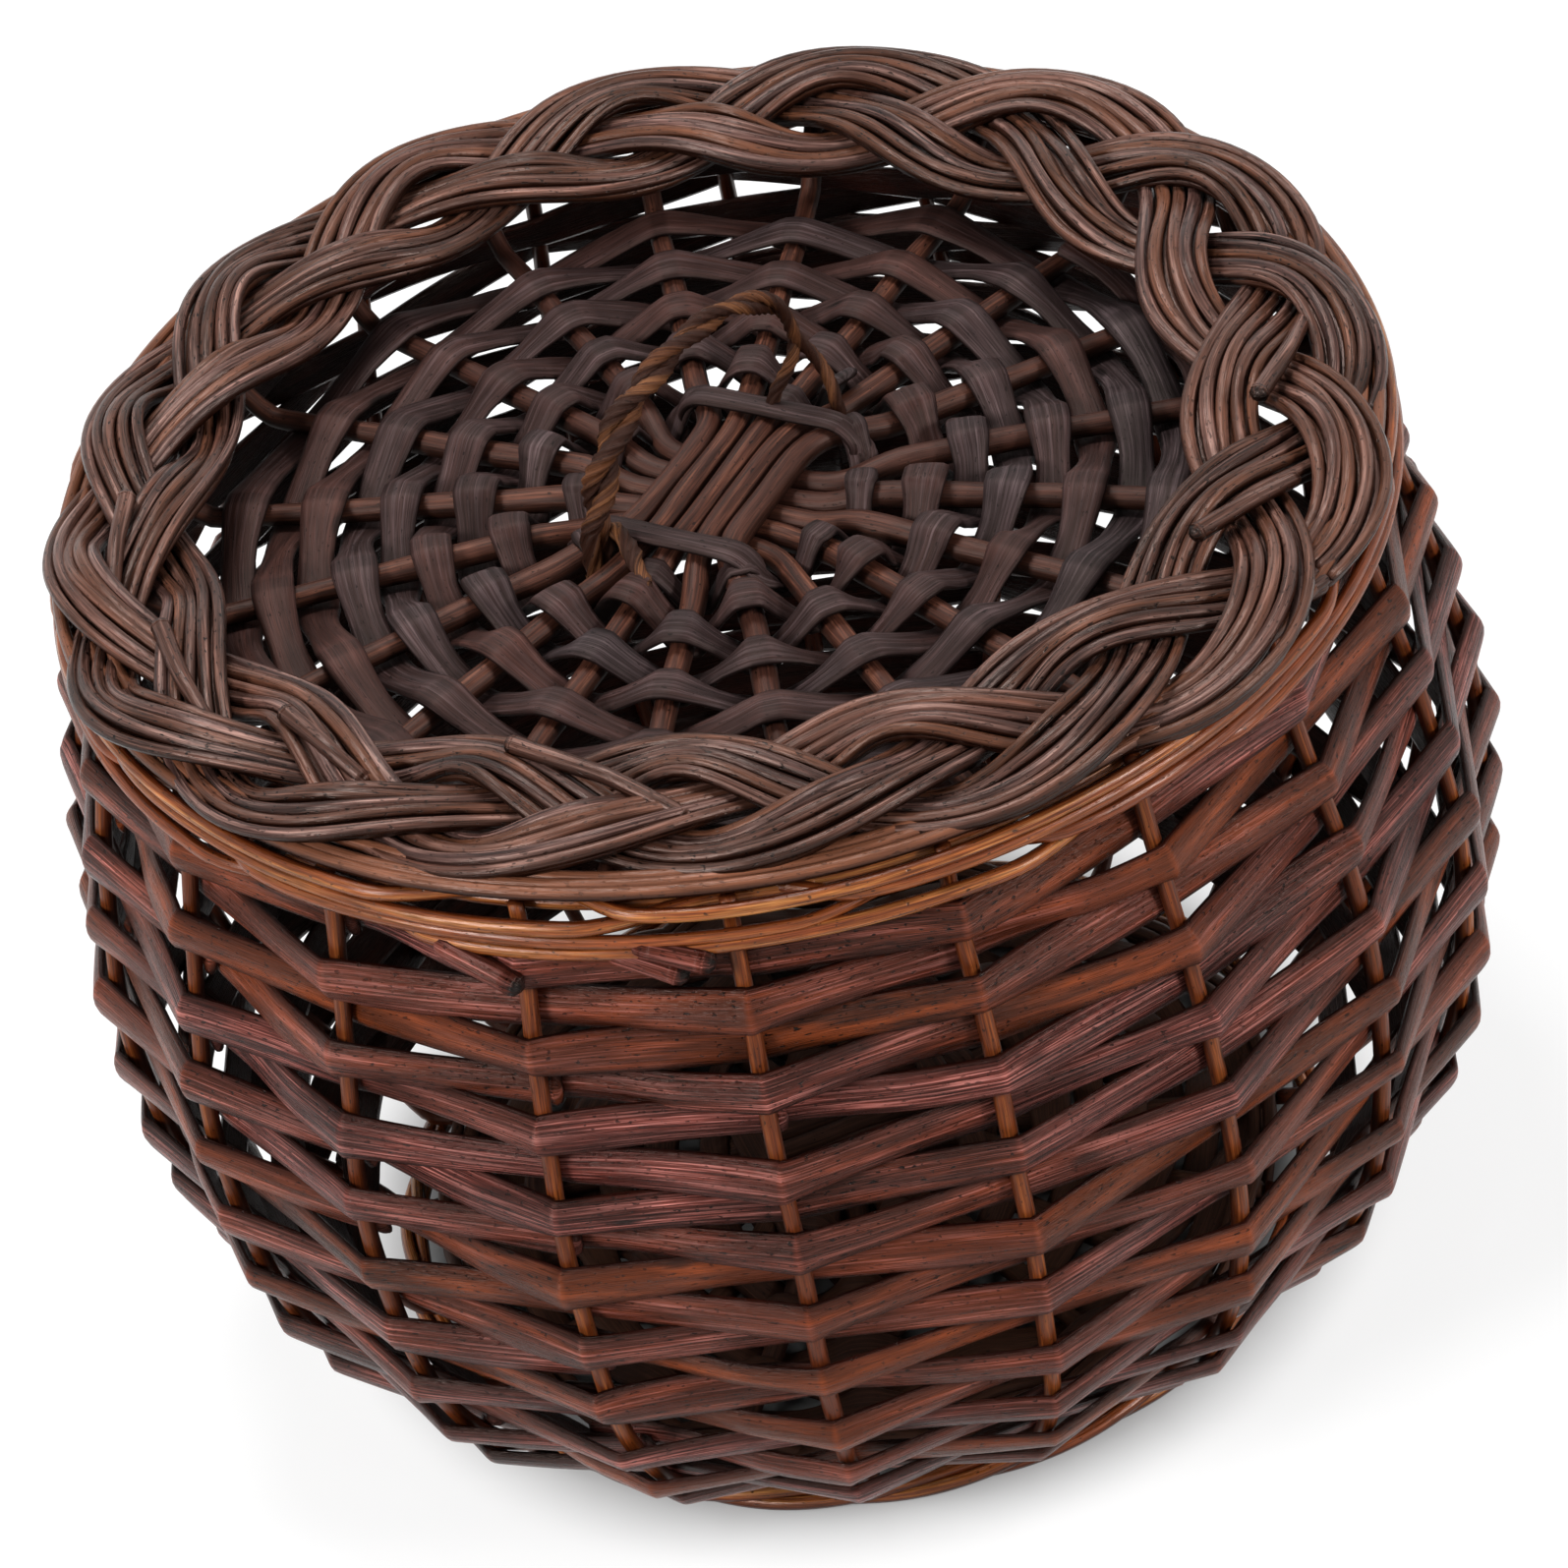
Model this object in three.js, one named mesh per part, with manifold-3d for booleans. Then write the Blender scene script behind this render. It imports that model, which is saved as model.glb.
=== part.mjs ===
// Round bellied willow basket with a lift-off lid, in millimetres, +Z up, standing on z = 0.
// The lid is a woven disc with a wide plaited border that laps over the basket's mouth.
import * as THREE from "three";
import { mergeVertices } from "three/addons/utils/BufferGeometryUtils.js";
import Module from "manifold-3d";

const wasm = await Module();
wasm.setup();

// Clearance between two pieces that touch
const GAP = 0.3;

// The two crosses, of the base and of the lid: a pack of sticks laid over a second pack
const PACK_STICKS = 5;
const STICK_RADIUS = 3.8;
const SPOKE_RADIUS = 3;
const STICK_JOIN = 0.15;
const PACK_LENGTH = 27;
const FAN_RADIUS = 50;

// The weaving of both discs: a tie round the cross, then two split strips that chase each other
const TIE_DISTANCE = 30;
const TIE_WIDTH = 8.6;
const STRIP_WIDTH = 10.8;
const STRIP_THICKNESS = 3.2;
const STRIP_PLAY = 0.5;

// Stakes: the upright rods of the wall, one at each end of the base's sticks
const STAKE_COUNT = 4 * PACK_STICKS;
const STAKE_RADIUS = 2.6;
const STAKE_SIDES = 5;
const STAKE_SAG = 0.3;
const STAKE_AZIMUTH = THREE.MathUtils.degToRad(12);

// The wall's outline, as radii and heights of a stake's middle line. Spreads and rises are
// measured from the edge of the base.
const BASE_RADIUS = 126;
const BASE_HEIGHT = 10;
const UPSETT_SPREAD = 20;
const UPSETT_RISE = 12;
const LOWER_SPREAD = 46;
const LOWER_RISE = 38;
const BELLY_RADIUS = 198.5;
const BELLY_HEIGHT = 148;
const FLANK_FULLNESS = 0.72;
const SHOULDER_FALL = 0.34;
const RIM_RADIUS = 181;
const RIM_HEIGHT = 273;
const NECK_DEPTH = 22;
const NECK_FLARE = 1.5;

// Siding: rows of half-round split willow, in front of one stake and behind the next
const ROW_COUNT = 20;
const ROW_THICKNESS = 3.4;
const ROW_PLAY = 0.6;
const SIDING_FOOT = 8;

// Top wale: four round rods, each in front of three stakes and behind the next
const WALE_ROD_COUNT = 4;
const WALE_ROD_RADIUS = 2.1;

// Foot wale: the ring on which the basket stands
const FOOT_FROM = 4;
const FOOT_TO = 13;
const FOOT_FLAT = 6;

// Base disc, pushed up a little in the middle
const BASE_CROWN = 6;
const BASE_WEAVE_MARGIN = 10;

// Lid disc: nearly flat, dipping towards its edge, then rising to a shelf under the border
const LID_HEIGHT = 260.5;
const LID_DIP = 4.5;
const LID_DIP_RADIUS = 146;
const LID_SHELF = 5;
const LID_PLAY = 2.2;
const LID_AZIMUTH = THREE.MathUtils.degToRad(37);

// Lid border: a three-strand plait of flat bundles of thin rods. A bundle banks as it crosses the
// others, up or down by the tilt for each millimetre across it, and its low turns, which lie inside
// the stakes, sink into the mouth.
const PLAIT_STRANDS = 3;
const PLAIT_REPEATS = 5;
const PLAIT_SWING = 18.2;
const PLAIT_LIFT = 4.7;
const PLAIT_TILT = 0.15;
const PLAIT_SINK = 0.8;
const PLAIT_OVERHANG = 6.5;
const PLAIT_AZIMUTH = THREE.MathUtils.degToRad(13.5);
const PLAIT_STEPS = 8;
const BUNDLE_RODS = 5;
const BUNDLE_WIDTH = 20.5;
const BUNDLE_THICKNESS = 4.3;
const RIB_DEPTH = 1.8;
const OUTER_RIB_DROP = 1.3;

// Loop handle: two thin rods twisted together
const LOOP_ROD_RADIUS = 1.6;
const LOOP_HEIGHT = 53;
const LOOP_LEG_RADIUS = 41;
const LOOP_HALF_TWISTS = 7;
const LOOP_STEPS = 34;

const TURN = 2 * Math.PI;
const SPOKE_ANGLE = TURN / STAKE_COUNT;
const HEXAGON_FLAT = Math.cos(Math.PI / 6);
const FAN_START = FAN_RADIUS - STRIP_WIDTH / 2;
const UP = new THREE.Vector3(0, 0, 1);

// Colour and roughness of the stained willow, by kind of piece
const FINISH = {
  stake: { color: 0x7a4a2a, roughness: 0.5 },
  siding: { color: 0x633529, roughness: 0.45 },
  wale: { color: 0x8a5a34, roughness: 0.45 },
  base: { color: 0x55342a, roughness: 0.6 },
  lidStick: { color: 0x6b4433, roughness: 0.55 },
  lidStrip: { color: 0x3e2d29, roughness: 0.7 },
  border: { color: 0x69493c, roughness: 0.55 },
  loop: { color: 0x86603d, roughness: 0.6 },
};

// A point from its distance to the vertical axis, its azimuth and its height
function polar(radius, azimuth, height) {
  return new THREE.Vector3(radius * Math.cos(azimuth), radius * Math.sin(azimuth), height);
}

// How far a value is from low to high, as a share that stays between 0 and 1
function shareBetween(value, low, high) {
  return THREE.MathUtils.clamp((value - low) / (high - low), 0, 1);
}

// The triangles, turned round when they enclose a negative volume
function facingOut(points, index) {
  let volume = 0;
  for (let i = 0; i < index.length; i += 3) {
    const [a, b, c] = [points[index[i]], points[index[i + 1]], points[index[i + 2]]];
    volume += a.dot(b.clone().cross(c));
  }
  return volume < 0 ? index.slice().reverse() : index;
}

// The triangles of a cap from one corner of a convex outline to all the others
function fan(sides) {
  return Array.from({ length: sides - 2 }, (_, i) => [0, i + 1, i + 2]);
}

// A closed solid through rings of points: the last ring meets the first, or both ends are capped
function skin(rings, closed, cap = fan(rings[0].length)) {
  const sides = rings[0].length;
  const spans = closed ? rings.length : rings.length - 1;
  const index = [];
  for (let i = 0; i < spans; i++) {
    const here = i * sides;
    const next = ((i + 1) % rings.length) * sides;
    for (let j = 0; j < sides; j++) {
      const k = (j + 1) % sides;
      index.push(here + j, here + k, next + k);
      index.push(here + j, next + k, next + j);
    }
  }
  if (!closed) {
    const last = spans * sides;
    for (const [a, b, c] of cap) {
      index.push(a, c, b);
      index.push(last + a, last + b, last + c);
    }
  }
  const points = rings.flat();
  const geometry = new THREE.BufferGeometry().setFromPoints(points);
  geometry.setIndex(facingOut(points, index));
  geometry.computeVertexNormals();
  return geometry;
}

// Sections swept along a path. A section's second offset runs as near the given side as it can.
function sweep(points, section, side, closed) {
  const count = points.length;
  const rings = points.map((point, i) => {
    const before = points[closed ? (i + count - 1) % count : Math.max(i - 1, 0)];
    const after = points[closed ? (i + 1) % count : Math.min(i + 1, count - 1)];
    const along = after.clone().sub(before).normalize();
    const across = along.clone().cross(side(i)).normalize();
    const rise = across.clone().cross(along);
    return section(i).map(([x, y]) =>
      point.clone().addScaledVector(across, x).addScaledVector(rise, y));
  });
  return skin(rings, closed);
}

// The outline of a round rod, its first corner at the given angle
function roundSection(radius, sides, first) {
  return Array.from({ length: sides }, (_, i) => {
    const angle = first + (TURN * i) / sides;
    return [radius * Math.cos(angle), radius * Math.sin(angle)];
  });
}

// The outline of a split rod, as thickness by width: flat on one side, crowned on the other
function splitSection(thickness, width) {
  const crown = width * 0.27;
  return [
    [-thickness / 2, -width / 2],
    [-thickness / 2, width / 2],
    [thickness / 2, crown],
    [thickness / 2, -crown],
  ];
}

// A geometry's solid, its shared vertices merged, ready to be joined
function solid(geometry) {
  const bare = geometry.clone();
  bare.deleteAttribute("normal");
  const merged = mergeVertices(bare);
  return new wasm.Manifold(new wasm.Mesh({
    numProp: 3,
    vertProperties: merged.getAttribute("position").array,
    triVerts: new Uint32Array(merged.index.array),
  }));
}

// The union of several geometries as one geometry
function fuse(geometries) {
  const joined = geometries.map(solid).reduce((whole, one) => whole.add(one)).getMesh();
  const geometry = new THREE.BufferGeometry();
  geometry.setAttribute("position", new THREE.BufferAttribute(joined.vertProperties, 3));
  geometry.setIndex(new THREE.BufferAttribute(joined.triVerts, 1));
  geometry.computeVertexNormals();
  return geometry;
}

// How far a woven strip's middle stands from the middle of the round rod that it passes,
// when it slopes over to the other side of the next rod
function weaveOffset(rodRadius, thickness, bay) {
  let offset = thickness / 2 + rodRadius + GAP;
  for (let i = 0; i < 6; i++) {
    const slope = Math.atan((2 * offset) / bay);
    offset = (thickness / 2 + rodRadius + GAP) / Math.cos(slope);
  }
  return offset;
}

// The wall's outline: a stake's middle line in the plane of radius and height
const lowerRadius = BASE_RADIUS + LOWER_SPREAD;
const lowerHeight = BASE_HEIGHT + LOWER_RISE;
const neckHeight = RIM_HEIGHT - NECK_DEPTH;
const neckRadius = RIM_RADIUS + NECK_FLARE;
const wall = new THREE.SplineCurve([
  new THREE.Vector2(BASE_RADIUS + GAP, BASE_HEIGHT),
  new THREE.Vector2(BASE_RADIUS + UPSETT_SPREAD / 2, BASE_HEIGHT),
  new THREE.Vector2(BASE_RADIUS + UPSETT_SPREAD, BASE_HEIGHT + UPSETT_RISE),
  new THREE.Vector2(lowerRadius, lowerHeight),
  new THREE.Vector2(
    THREE.MathUtils.lerp(lowerRadius, BELLY_RADIUS, FLANK_FULLNESS),
    THREE.MathUtils.lerp(lowerHeight, BELLY_HEIGHT, 0.4),
  ),
  new THREE.Vector2(BELLY_RADIUS, BELLY_HEIGHT),
  new THREE.Vector2(
    THREE.MathUtils.lerp(BELLY_RADIUS, neckRadius, SHOULDER_FALL),
    (BELLY_HEIGHT + neckHeight) / 2,
  ),
  new THREE.Vector2(neckRadius, neckHeight),
  new THREE.Vector2(RIM_RADIUS, RIM_HEIGHT - NECK_DEPTH * 0.4),
  new THREE.Vector2(RIM_RADIUS, RIM_HEIGHT),
]);
const wallLength = wall.getLength();

// The share of the wall's length at which it reaches a height
function shareAtHeight(height) {
  let low = 0;
  let high = 1;
  while (high - low > 1e-6) {
    const middle = (low + high) / 2;
    if (wall.getPointAt(middle).y < height) {
      low = middle;
    } else {
      high = middle;
    }
  }
  return low;
}

// A point beside the wall's middle line, so far outwards from it
function besideWall(share, azimuth, outwards) {
  const at = wall.getPointAt(share);
  const run = wall.getTangentAt(share);
  return polar(at.x + run.y * outwards, azimuth, at.y - run.x * outwards);
}

// How far the wall bulges from the straight line between two places on it
function bulge(from, to) {
  const chord = wall.getPointAt(from).lerp(wall.getPointAt(to), 0.5);
  return chord.distanceTo(wall.getPointAt((from + to) / 2));
}

// The places along the wall between which a straight line leaves it by no more than a sag
function stationsOnWall(sag) {
  const fine = 1 / 400;
  const stations = [0];
  for (let share = fine; share < 1 - fine; share += fine) {
    if (bulge(stations.at(-1), share) > sag) {
      stations.push(share);
    }
  }
  return [...stations, 1];
}

function stakeAzimuth(number) {
  return STAKE_AZIMUTH + SPOKE_ANGLE * number;
}

// The distance between two stakes at a place on the wall
function bayWidth(share) {
  return SPOKE_ANGLE * wall.getPointAt(share).x;
}

// One upright rod, from the end of a base stick to the rim
const stakeStations = stationsOnWall(STAKE_SAG);
function stake(number) {
  const azimuth = stakeAzimuth(number);
  const sideways = polar(1, azimuth + TURN / 4, 0);
  const section = roundSection(STAKE_RADIUS, STAKE_SIDES, Math.PI / STAKE_SIDES);
  const points = stakeStations.map((share) => besideWall(share, azimuth, 0));
  return sweep(points, () => section, () => sideways, false);
}

// A closed round of weaving: its section stands beside each stake in turn, outside or inside
function roundOnWall(share, section, offset, isOutside) {
  const rings = Array.from({ length: STAKE_COUNT }, (_, k) => {
    const outwards = isOutside(k) ? offset : -offset;
    return section.map(([x, y]) =>
      besideWall(share + y / wallLength, stakeAzimuth(k), outwards + x));
  });
  return skin(rings, true);
}

// The stretch of wall that the siding fills, and the width of a row
const sidingLow = shareAtHeight(BASE_HEIGHT + SIDING_FOOT);
const sidingHigh = shareAtHeight(RIM_HEIGHT - 2 * WALE_ROD_RADIUS * WALE_ROD_COUNT - GAP);
const rowShare = (sidingHigh - sidingLow) / ROW_COUNT;
const rowWidth = rowShare * wallLength - ROW_PLAY;

// One row of siding: neighbouring rows pass opposite sides of a stake
function sidingRow(number) {
  const share = sidingLow + (number + 0.5) * rowShare;
  const section = splitSection(ROW_THICKNESS, rowWidth);
  const spare = bulge(share - rowShare / 2, share + rowShare / 2);
  const offset = weaveOffset(STAKE_RADIUS, ROW_THICKNESS, bayWidth(share)) + spare;
  return roundOnWall(share, section, offset, (k) => (k + number) % 2 === 0);
}

// One rod of the top wale
function waleRod(number) {
  const share = shareAtHeight(RIM_HEIGHT - 2 * WALE_ROD_RADIUS * (WALE_ROD_COUNT - number - 0.5));
  const section = roundSection(WALE_ROD_RADIUS - GAP / 2, 5, TURN / 2);
  const offset = weaveOffset(STAKE_RADIUS, 2 * WALE_ROD_RADIUS, bayWidth(share));
  return roundOnWall(share, section, offset, (k) => (k + number) % WALE_ROD_COUNT !== 0);
}

// The foot wale: a ring that fills the corner under the bend of the stakes, flat below
function footWale() {
  const distances = [FOOT_FROM, (FOOT_FROM + FOOT_TO) / 2, FOOT_TO];
  const [inner, middle, outer] = distances.map((distance) =>
    besideWall(distance / wallLength, 0, STAKE_RADIUS + GAP));
  const outline = [
    [inner.x, inner.z],
    [middle.x, middle.z],
    [outer.x, outer.z],
    [outer.x + GAP, middle.z / 2],
    [middle.x + FOOT_FLAT / 2, 0],
    [middle.x - FOOT_FLAT / 2, 0],
    [inner.x - GAP, middle.z / 2],
  ];
  const rings = Array.from({ length: STAKE_COUNT }, (_, k) =>
    outline.map(([radius, height]) => polar(radius, stakeAzimuth(k), height)));
  return skin(rings, true);
}

// The border's middle line, and the clear height of its underside
const plaitCrossings = PLAIT_STRANDS * PLAIT_REPEATS + 1;
const plaitRadius = RIM_RADIUS + PLAIT_OVERHANG - PLAIT_SWING - BUNDLE_WIDTH / 2;
const plaitUnderside = RIM_HEIGHT + GAP - PLAIT_SINK;
const bankedDrop = (PLAIT_TILT * BUNDLE_WIDTH) / 4 / Math.SQRT2;
const plaitHeight = plaitUnderside + BUNDLE_THICKNESS / 2 + PLAIT_LIFT + bankedDrop;

// The two discs. height gives the middle of the sticks at a distance from the axis.
const baseDisc = {
  azimuth: STAKE_AZIMUTH,
  end: BASE_RADIUS,
  weaveEnd: BASE_RADIUS - BASE_WEAVE_MARGIN,
  bends: [88],
  height: (radius) => BASE_HEIGHT + BASE_CROWN * (1 - (radius / BASE_RADIUS) ** 2) ** 2,
};
const lidEnd = RIM_RADIUS - STAKE_RADIUS - 2 * WALE_ROD_RADIUS - LID_PLAY;
const lidShelf = plaitUnderside - GAP - HEXAGON_FLAT * SPOKE_RADIUS;
const lidDisc = {
  azimuth: LID_AZIMUTH,
  end: lidEnd,
  weaveEnd: LID_DIP_RADIUS - STRIP_WIDTH / 2,
  bends: [LID_DIP_RADIUS, lidEnd - LID_SHELF],
  height: (radius) => {
    const dip = LID_DIP * shareBetween(radius, FAN_START, LID_DIP_RADIUS);
    const rise = shareBetween(radius, LID_DIP_RADIUS, lidEnd - LID_SHELF);
    return THREE.MathUtils.lerp(LID_HEIGHT - dip, lidShelf, rise);
  },
};

// The radius of a disc's tapering stick at a distance from the axis
function stickRadius(disc, radius) {
  const share = shareBetween(radius, FAN_RADIUS, disc.end);
  return THREE.MathUtils.lerp(STICK_RADIUS, SPOKE_RADIUS, share);
}

// A pack of sticks through a disc's middle, straight side by side and then fanned to even spokes.
// The upper pack has level 1, and the lower one, a quarter turn round, has level -1.
function crossPack(disc, level) {
  const pitch = 2 * STICK_RADIUS - STICK_JOIN;
  const azimuth = level > 0 ? disc.azimuth : disc.azimuth + TURN / 4;
  const lift = level * (HEXAGON_FLAT * STICK_RADIUS + GAP / 2);
  const sticks = [];
  for (let i = 0; i < PACK_STICKS; i++) {
    const place = i - (PACK_STICKS - 1) / 2;
    const half = [
      new THREE.Vector3(PACK_LENGTH, place * pitch, lift),
      ...[FAN_START, ...disc.bends, disc.end].map((radius) =>
        polar(radius, place * SPOKE_ANGLE, 0)),
    ];
    const otherHalf = half.map((p) => new THREE.Vector3(-p.x, p.y, p.z)).reverse();
    const points = [...otherHalf, ...half].map((p) => {
      const height = disc.height(Math.hypot(p.x, p.y)) + p.z;
      return new THREE.Vector3(p.x, p.y, height).applyAxisAngle(UP, azimuth);
    });
    const section = (n) =>
      roundSection(stickRadius(disc, Math.hypot(points[n].x, points[n].y)), 6, 0);
    sticks.push(sweep(points, section, () => UP, false));
  }
  return fuse(sticks);
}

// The first round of weaving, over both ends of the upper pack and under those of the lower one
function crossTie(disc) {
  const half = PACK_STICKS * STICK_RADIUS + TIE_WIDTH / 2;
  const lift = 2 * HEXAGON_FLAT * STICK_RADIUS + GAP * 1.5 + STRIP_THICKNESS / 2;
  const over = disc.height(TIE_DISTANCE - TIE_WIDTH / 2) + lift;
  const under = disc.height(Math.hypot(TIE_DISTANCE, half)) - lift;
  const points = [];
  for (let arm = 0; arm < 4; arm++) {
    const height = arm % 2 === 0 ? over : under;
    const stops = [
      new THREE.Vector3(TIE_DISTANCE, -half, height),
      new THREE.Vector3(TIE_DISTANCE, half, height),
      new THREE.Vector3(TIE_DISTANCE, TIE_DISTANCE, (over + under) / 2),
    ];
    points.push(...stops.map((stop) => stop.applyAxisAngle(UP, disc.azimuth + (arm * TURN) / 4)));
  }
  const section = splitSection(STRIP_THICKNESS, TIE_WIDTH).map(([x, y]) => [y, x]);
  return sweep(points, () => section, () => UP, true);
}

// One of a disc's two weavers: it spirals outwards, over one spoke and under the next, and ends
// after the whole number of half turns that comes nearest to the edge of the weave
function discWeaver(disc, number) {
  const section = splitSection(STRIP_THICKNESS, STRIP_WIDTH);
  const perTurn = 2 * (STRIP_WIDTH + STRIP_PLAY);
  const halfTurns = Math.round((2 * (disc.weaveEnd - FAN_RADIUS)) / perTurn);
  const steps = (halfTurns * STAKE_COUNT) / 2;
  const rings = [];
  for (let n = 0; n <= steps; n++) {
    const radius = FAN_RADIUS + (perTurn * n) / STAKE_COUNT;
    const azimuth = disc.azimuth + (number * TURN) / 2 + SPOKE_ANGLE * n;
    const offset = weaveOffset(stickRadius(disc, radius), STRIP_THICKNESS, SPOKE_ANGLE * radius);
    const middle = (n + number) % 2 === 0 ? offset : -offset;
    rings.push(section.map(([rise, outwards]) =>
      polar(radius + outwards, azimuth, disc.height(radius + outwards) + middle + rise)));
  }
  return skin(rings, false);
}

// The outline of a bundle: flat below, and above a rib for each rod, the outermost ones lower
function bundleSection() {
  const pitch = BUNDLE_WIDTH / BUNDLE_RODS;
  const top = BUNDLE_THICKNESS / 2;
  const edge = top - OUTER_RIB_DROP;
  const inside = [];
  for (let rod = 1; rod < BUNDLE_RODS - 1; rod++) {
    const crest = BUNDLE_WIDTH / 2 - (rod + 0.5) * pitch;
    inside.push([crest, top], [crest - pitch / 2, top - RIB_DEPTH]);
  }
  inside.pop();
  return [
    [-BUNDLE_WIDTH / 4, -top],
    [BUNDLE_WIDTH / 4, -top],
    [BUNDLE_WIDTH / 2, edge],
    [BUNDLE_WIDTH / 2 - pitch, edge - RIB_DEPTH / 2],
    ...inside,
    [pitch - BUNDLE_WIDTH / 2, edge - RIB_DEPTH / 2],
    [-BUNDLE_WIDTH / 2, edge],
  ];
}

// A ring of the plait's single path, which closes after one turn of the rim for each strand:
// across and back in one phase, up and down in half a phase, banking three times in a phase
function plaitRing(section, phase) {
  const radius = plaitRadius + PLAIT_SWING * Math.sin(phase);
  const azimuth = PLAIT_AZIMUTH - (phase * PLAIT_STRANDS) / plaitCrossings;
  const height = plaitHeight + PLAIT_LIFT * Math.sin(2 * phase);
  const tilt = PLAIT_TILT * Math.cos(3 * phase);
  return section.map(([x, y]) => polar(radius + x, azimuth, height + y + tilt * x));
}

// One strand of the plait, whose ends meet the other strands' ends under a crossing
function plaitStrand(number) {
  const hidden = (TURN * 3) / 8;
  const cut = ((GAP / 2 / plaitRadius) * plaitCrossings) / PLAIT_STRANDS;
  const [first, next] = [number, number + 1].map((n) =>
    Math.round((plaitCrossings * n) / PLAIT_STRANDS));
  const from = hidden + TURN * first + cut;
  const to = hidden + TURN * next - cut;
  const steps = PLAIT_STEPS * (next - first);
  const section = bundleSection();
  const corners = section.map(([x, y]) => new THREE.Vector2(x, y));
  const rings = Array.from({ length: steps + 1 }, (_, i) =>
    plaitRing(section, THREE.MathUtils.lerp(from, to, i / steps)));
  return skin(rings, false, THREE.ShapeUtils.triangulateShape(corners, []));
}

// One of the loop's two rods. Its legs pass down between two sticks at either end of a pack.
function loopRod(number) {
  const foot = lidDisc.height(LOOP_LEG_RADIUS) - STICK_RADIUS;
  const legs = [
    polar(LOOP_LEG_RADIUS, LID_AZIMUTH + (TURN - SPOKE_ANGLE) / 2, foot),
    polar(LOOP_LEG_RADIUS, LID_AZIMUTH + SPOKE_ANGLE / 2, foot),
  ];
  const shape = [[0, 0], [0, 0.2], [0.04, 0.45], [0.18, 0.77], [0.45, 0.97], [0.72, 1], [0.93, 0.84],
    [1.02, 0.5], [1, 0.2], [1, 0]];
  const route = new THREE.CatmullRomCurve3(shape.map(([share, rise]) =>
    legs[0].clone().lerp(legs[1], share).addScaledVector(UP, rise * (LOOP_HEIGHT + STICK_RADIUS))));
  const sideways = legs[1].clone().sub(legs[0]).cross(UP).normalize();
  const legShare = 0.1;
  const towards = [];
  const points = [];
  for (let i = 0; i <= LOOP_STEPS; i++) {
    const share = i / LOOP_STEPS;
    const twisted = THREE.MathUtils.clamp((share - legShare) / (1 - 2 * legShare), 0, 1);
    const angle = Math.PI * (number + LOOP_HALF_TWISTS * twisted);
    const inPlane = sideways.clone().cross(route.getTangentAt(share)).normalize();
    const offset = inPlane.multiplyScalar(Math.cos(angle)).addScaledVector(sideways, Math.sin(angle));
    towards.push(offset);
    points.push(route.getPointAt(share).addScaledVector(offset, LOOP_ROD_RADIUS + GAP / 2));
  }
  const section = roundSection(LOOP_ROD_RADIUS, 5, TURN / 4);
  return sweep(points, () => section, (i) => towards[i], false);
}

// A group of named meshes, each with a material of its own
function assembly(pieces) {
  const group = new THREE.Group();
  for (const [name, geometry, finish] of pieces) {
    const mesh = new THREE.Mesh(geometry, new THREE.MeshStandardMaterial(finish));
    mesh.name = name;
    group.add(mesh);
  }
  return group;
}

// Pieces of one kind, with numbers in their names
function series(name, count, make, finish) {
  return Array.from({ length: count }, (_, i) =>
    [name + "_" + String(i + 1).padStart(2, "0"), make(i), finish]);
}

function discPieces(name, disc, stickFinish, stripFinish) {
  return [
    [name + "_cross_upper", crossPack(disc, 1), stickFinish],
    [name + "_cross_lower", crossPack(disc, -1), stickFinish],
    [name + "_tie", crossTie(disc), stripFinish],
    ...series(name + "_weaver", 2, (i) => discWeaver(disc, i), stripFinish),
  ];
}

const basket = assembly([
  ["foot_wale", footWale(), FINISH.wale],
  ...discPieces("base", baseDisc, FINISH.base, FINISH.base),
  ...series("stake", STAKE_COUNT, stake, FINISH.stake),
  ...series("siding_row", ROW_COUNT, sidingRow, FINISH.siding),
  ...series("top_wale_rod", WALE_ROD_COUNT, waleRod, FINISH.wale),
]);

const lid = assembly([
  ...discPieces("lid", lidDisc, FINISH.lidStick, FINISH.lidStrip),
  ...series("plait_strand", PLAIT_STRANDS, plaitStrand, FINISH.border),
  ...series("loop_rod", 2, loopRod, FINISH.loop),
]);

const part = new THREE.Group();
part.add(basket, lid);
export default part;
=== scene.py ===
# %% [markdown]
# # A bellied willow basket with a plaited lid
# The real basket is woven from stained willow: upright stakes, rows of split rods round them, and a
# lid with a wide plaited border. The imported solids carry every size, joint and weight. One could
# paint the weave on them, but its gaps let light through. So this script lays real rods over them,
# one object for each solid, in the same frame.

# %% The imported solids
import math
from types import SimpleNamespace
import bmesh
import bpy
import numpy as np
from mathutils import Matrix, Vector


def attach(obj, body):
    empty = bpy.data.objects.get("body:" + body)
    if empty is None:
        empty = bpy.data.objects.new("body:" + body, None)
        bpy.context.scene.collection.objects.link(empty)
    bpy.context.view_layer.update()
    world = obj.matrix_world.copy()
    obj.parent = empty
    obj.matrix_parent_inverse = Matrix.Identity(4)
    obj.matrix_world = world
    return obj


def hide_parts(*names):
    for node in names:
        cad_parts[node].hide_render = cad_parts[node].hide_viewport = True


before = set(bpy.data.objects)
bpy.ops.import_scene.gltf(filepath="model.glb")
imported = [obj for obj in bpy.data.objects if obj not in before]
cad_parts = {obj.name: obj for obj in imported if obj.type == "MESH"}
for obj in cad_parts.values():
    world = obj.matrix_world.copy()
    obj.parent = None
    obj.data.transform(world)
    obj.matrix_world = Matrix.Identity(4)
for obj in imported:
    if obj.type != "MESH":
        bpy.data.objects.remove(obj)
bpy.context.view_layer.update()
print("packed solids:", len(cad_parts))

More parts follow.
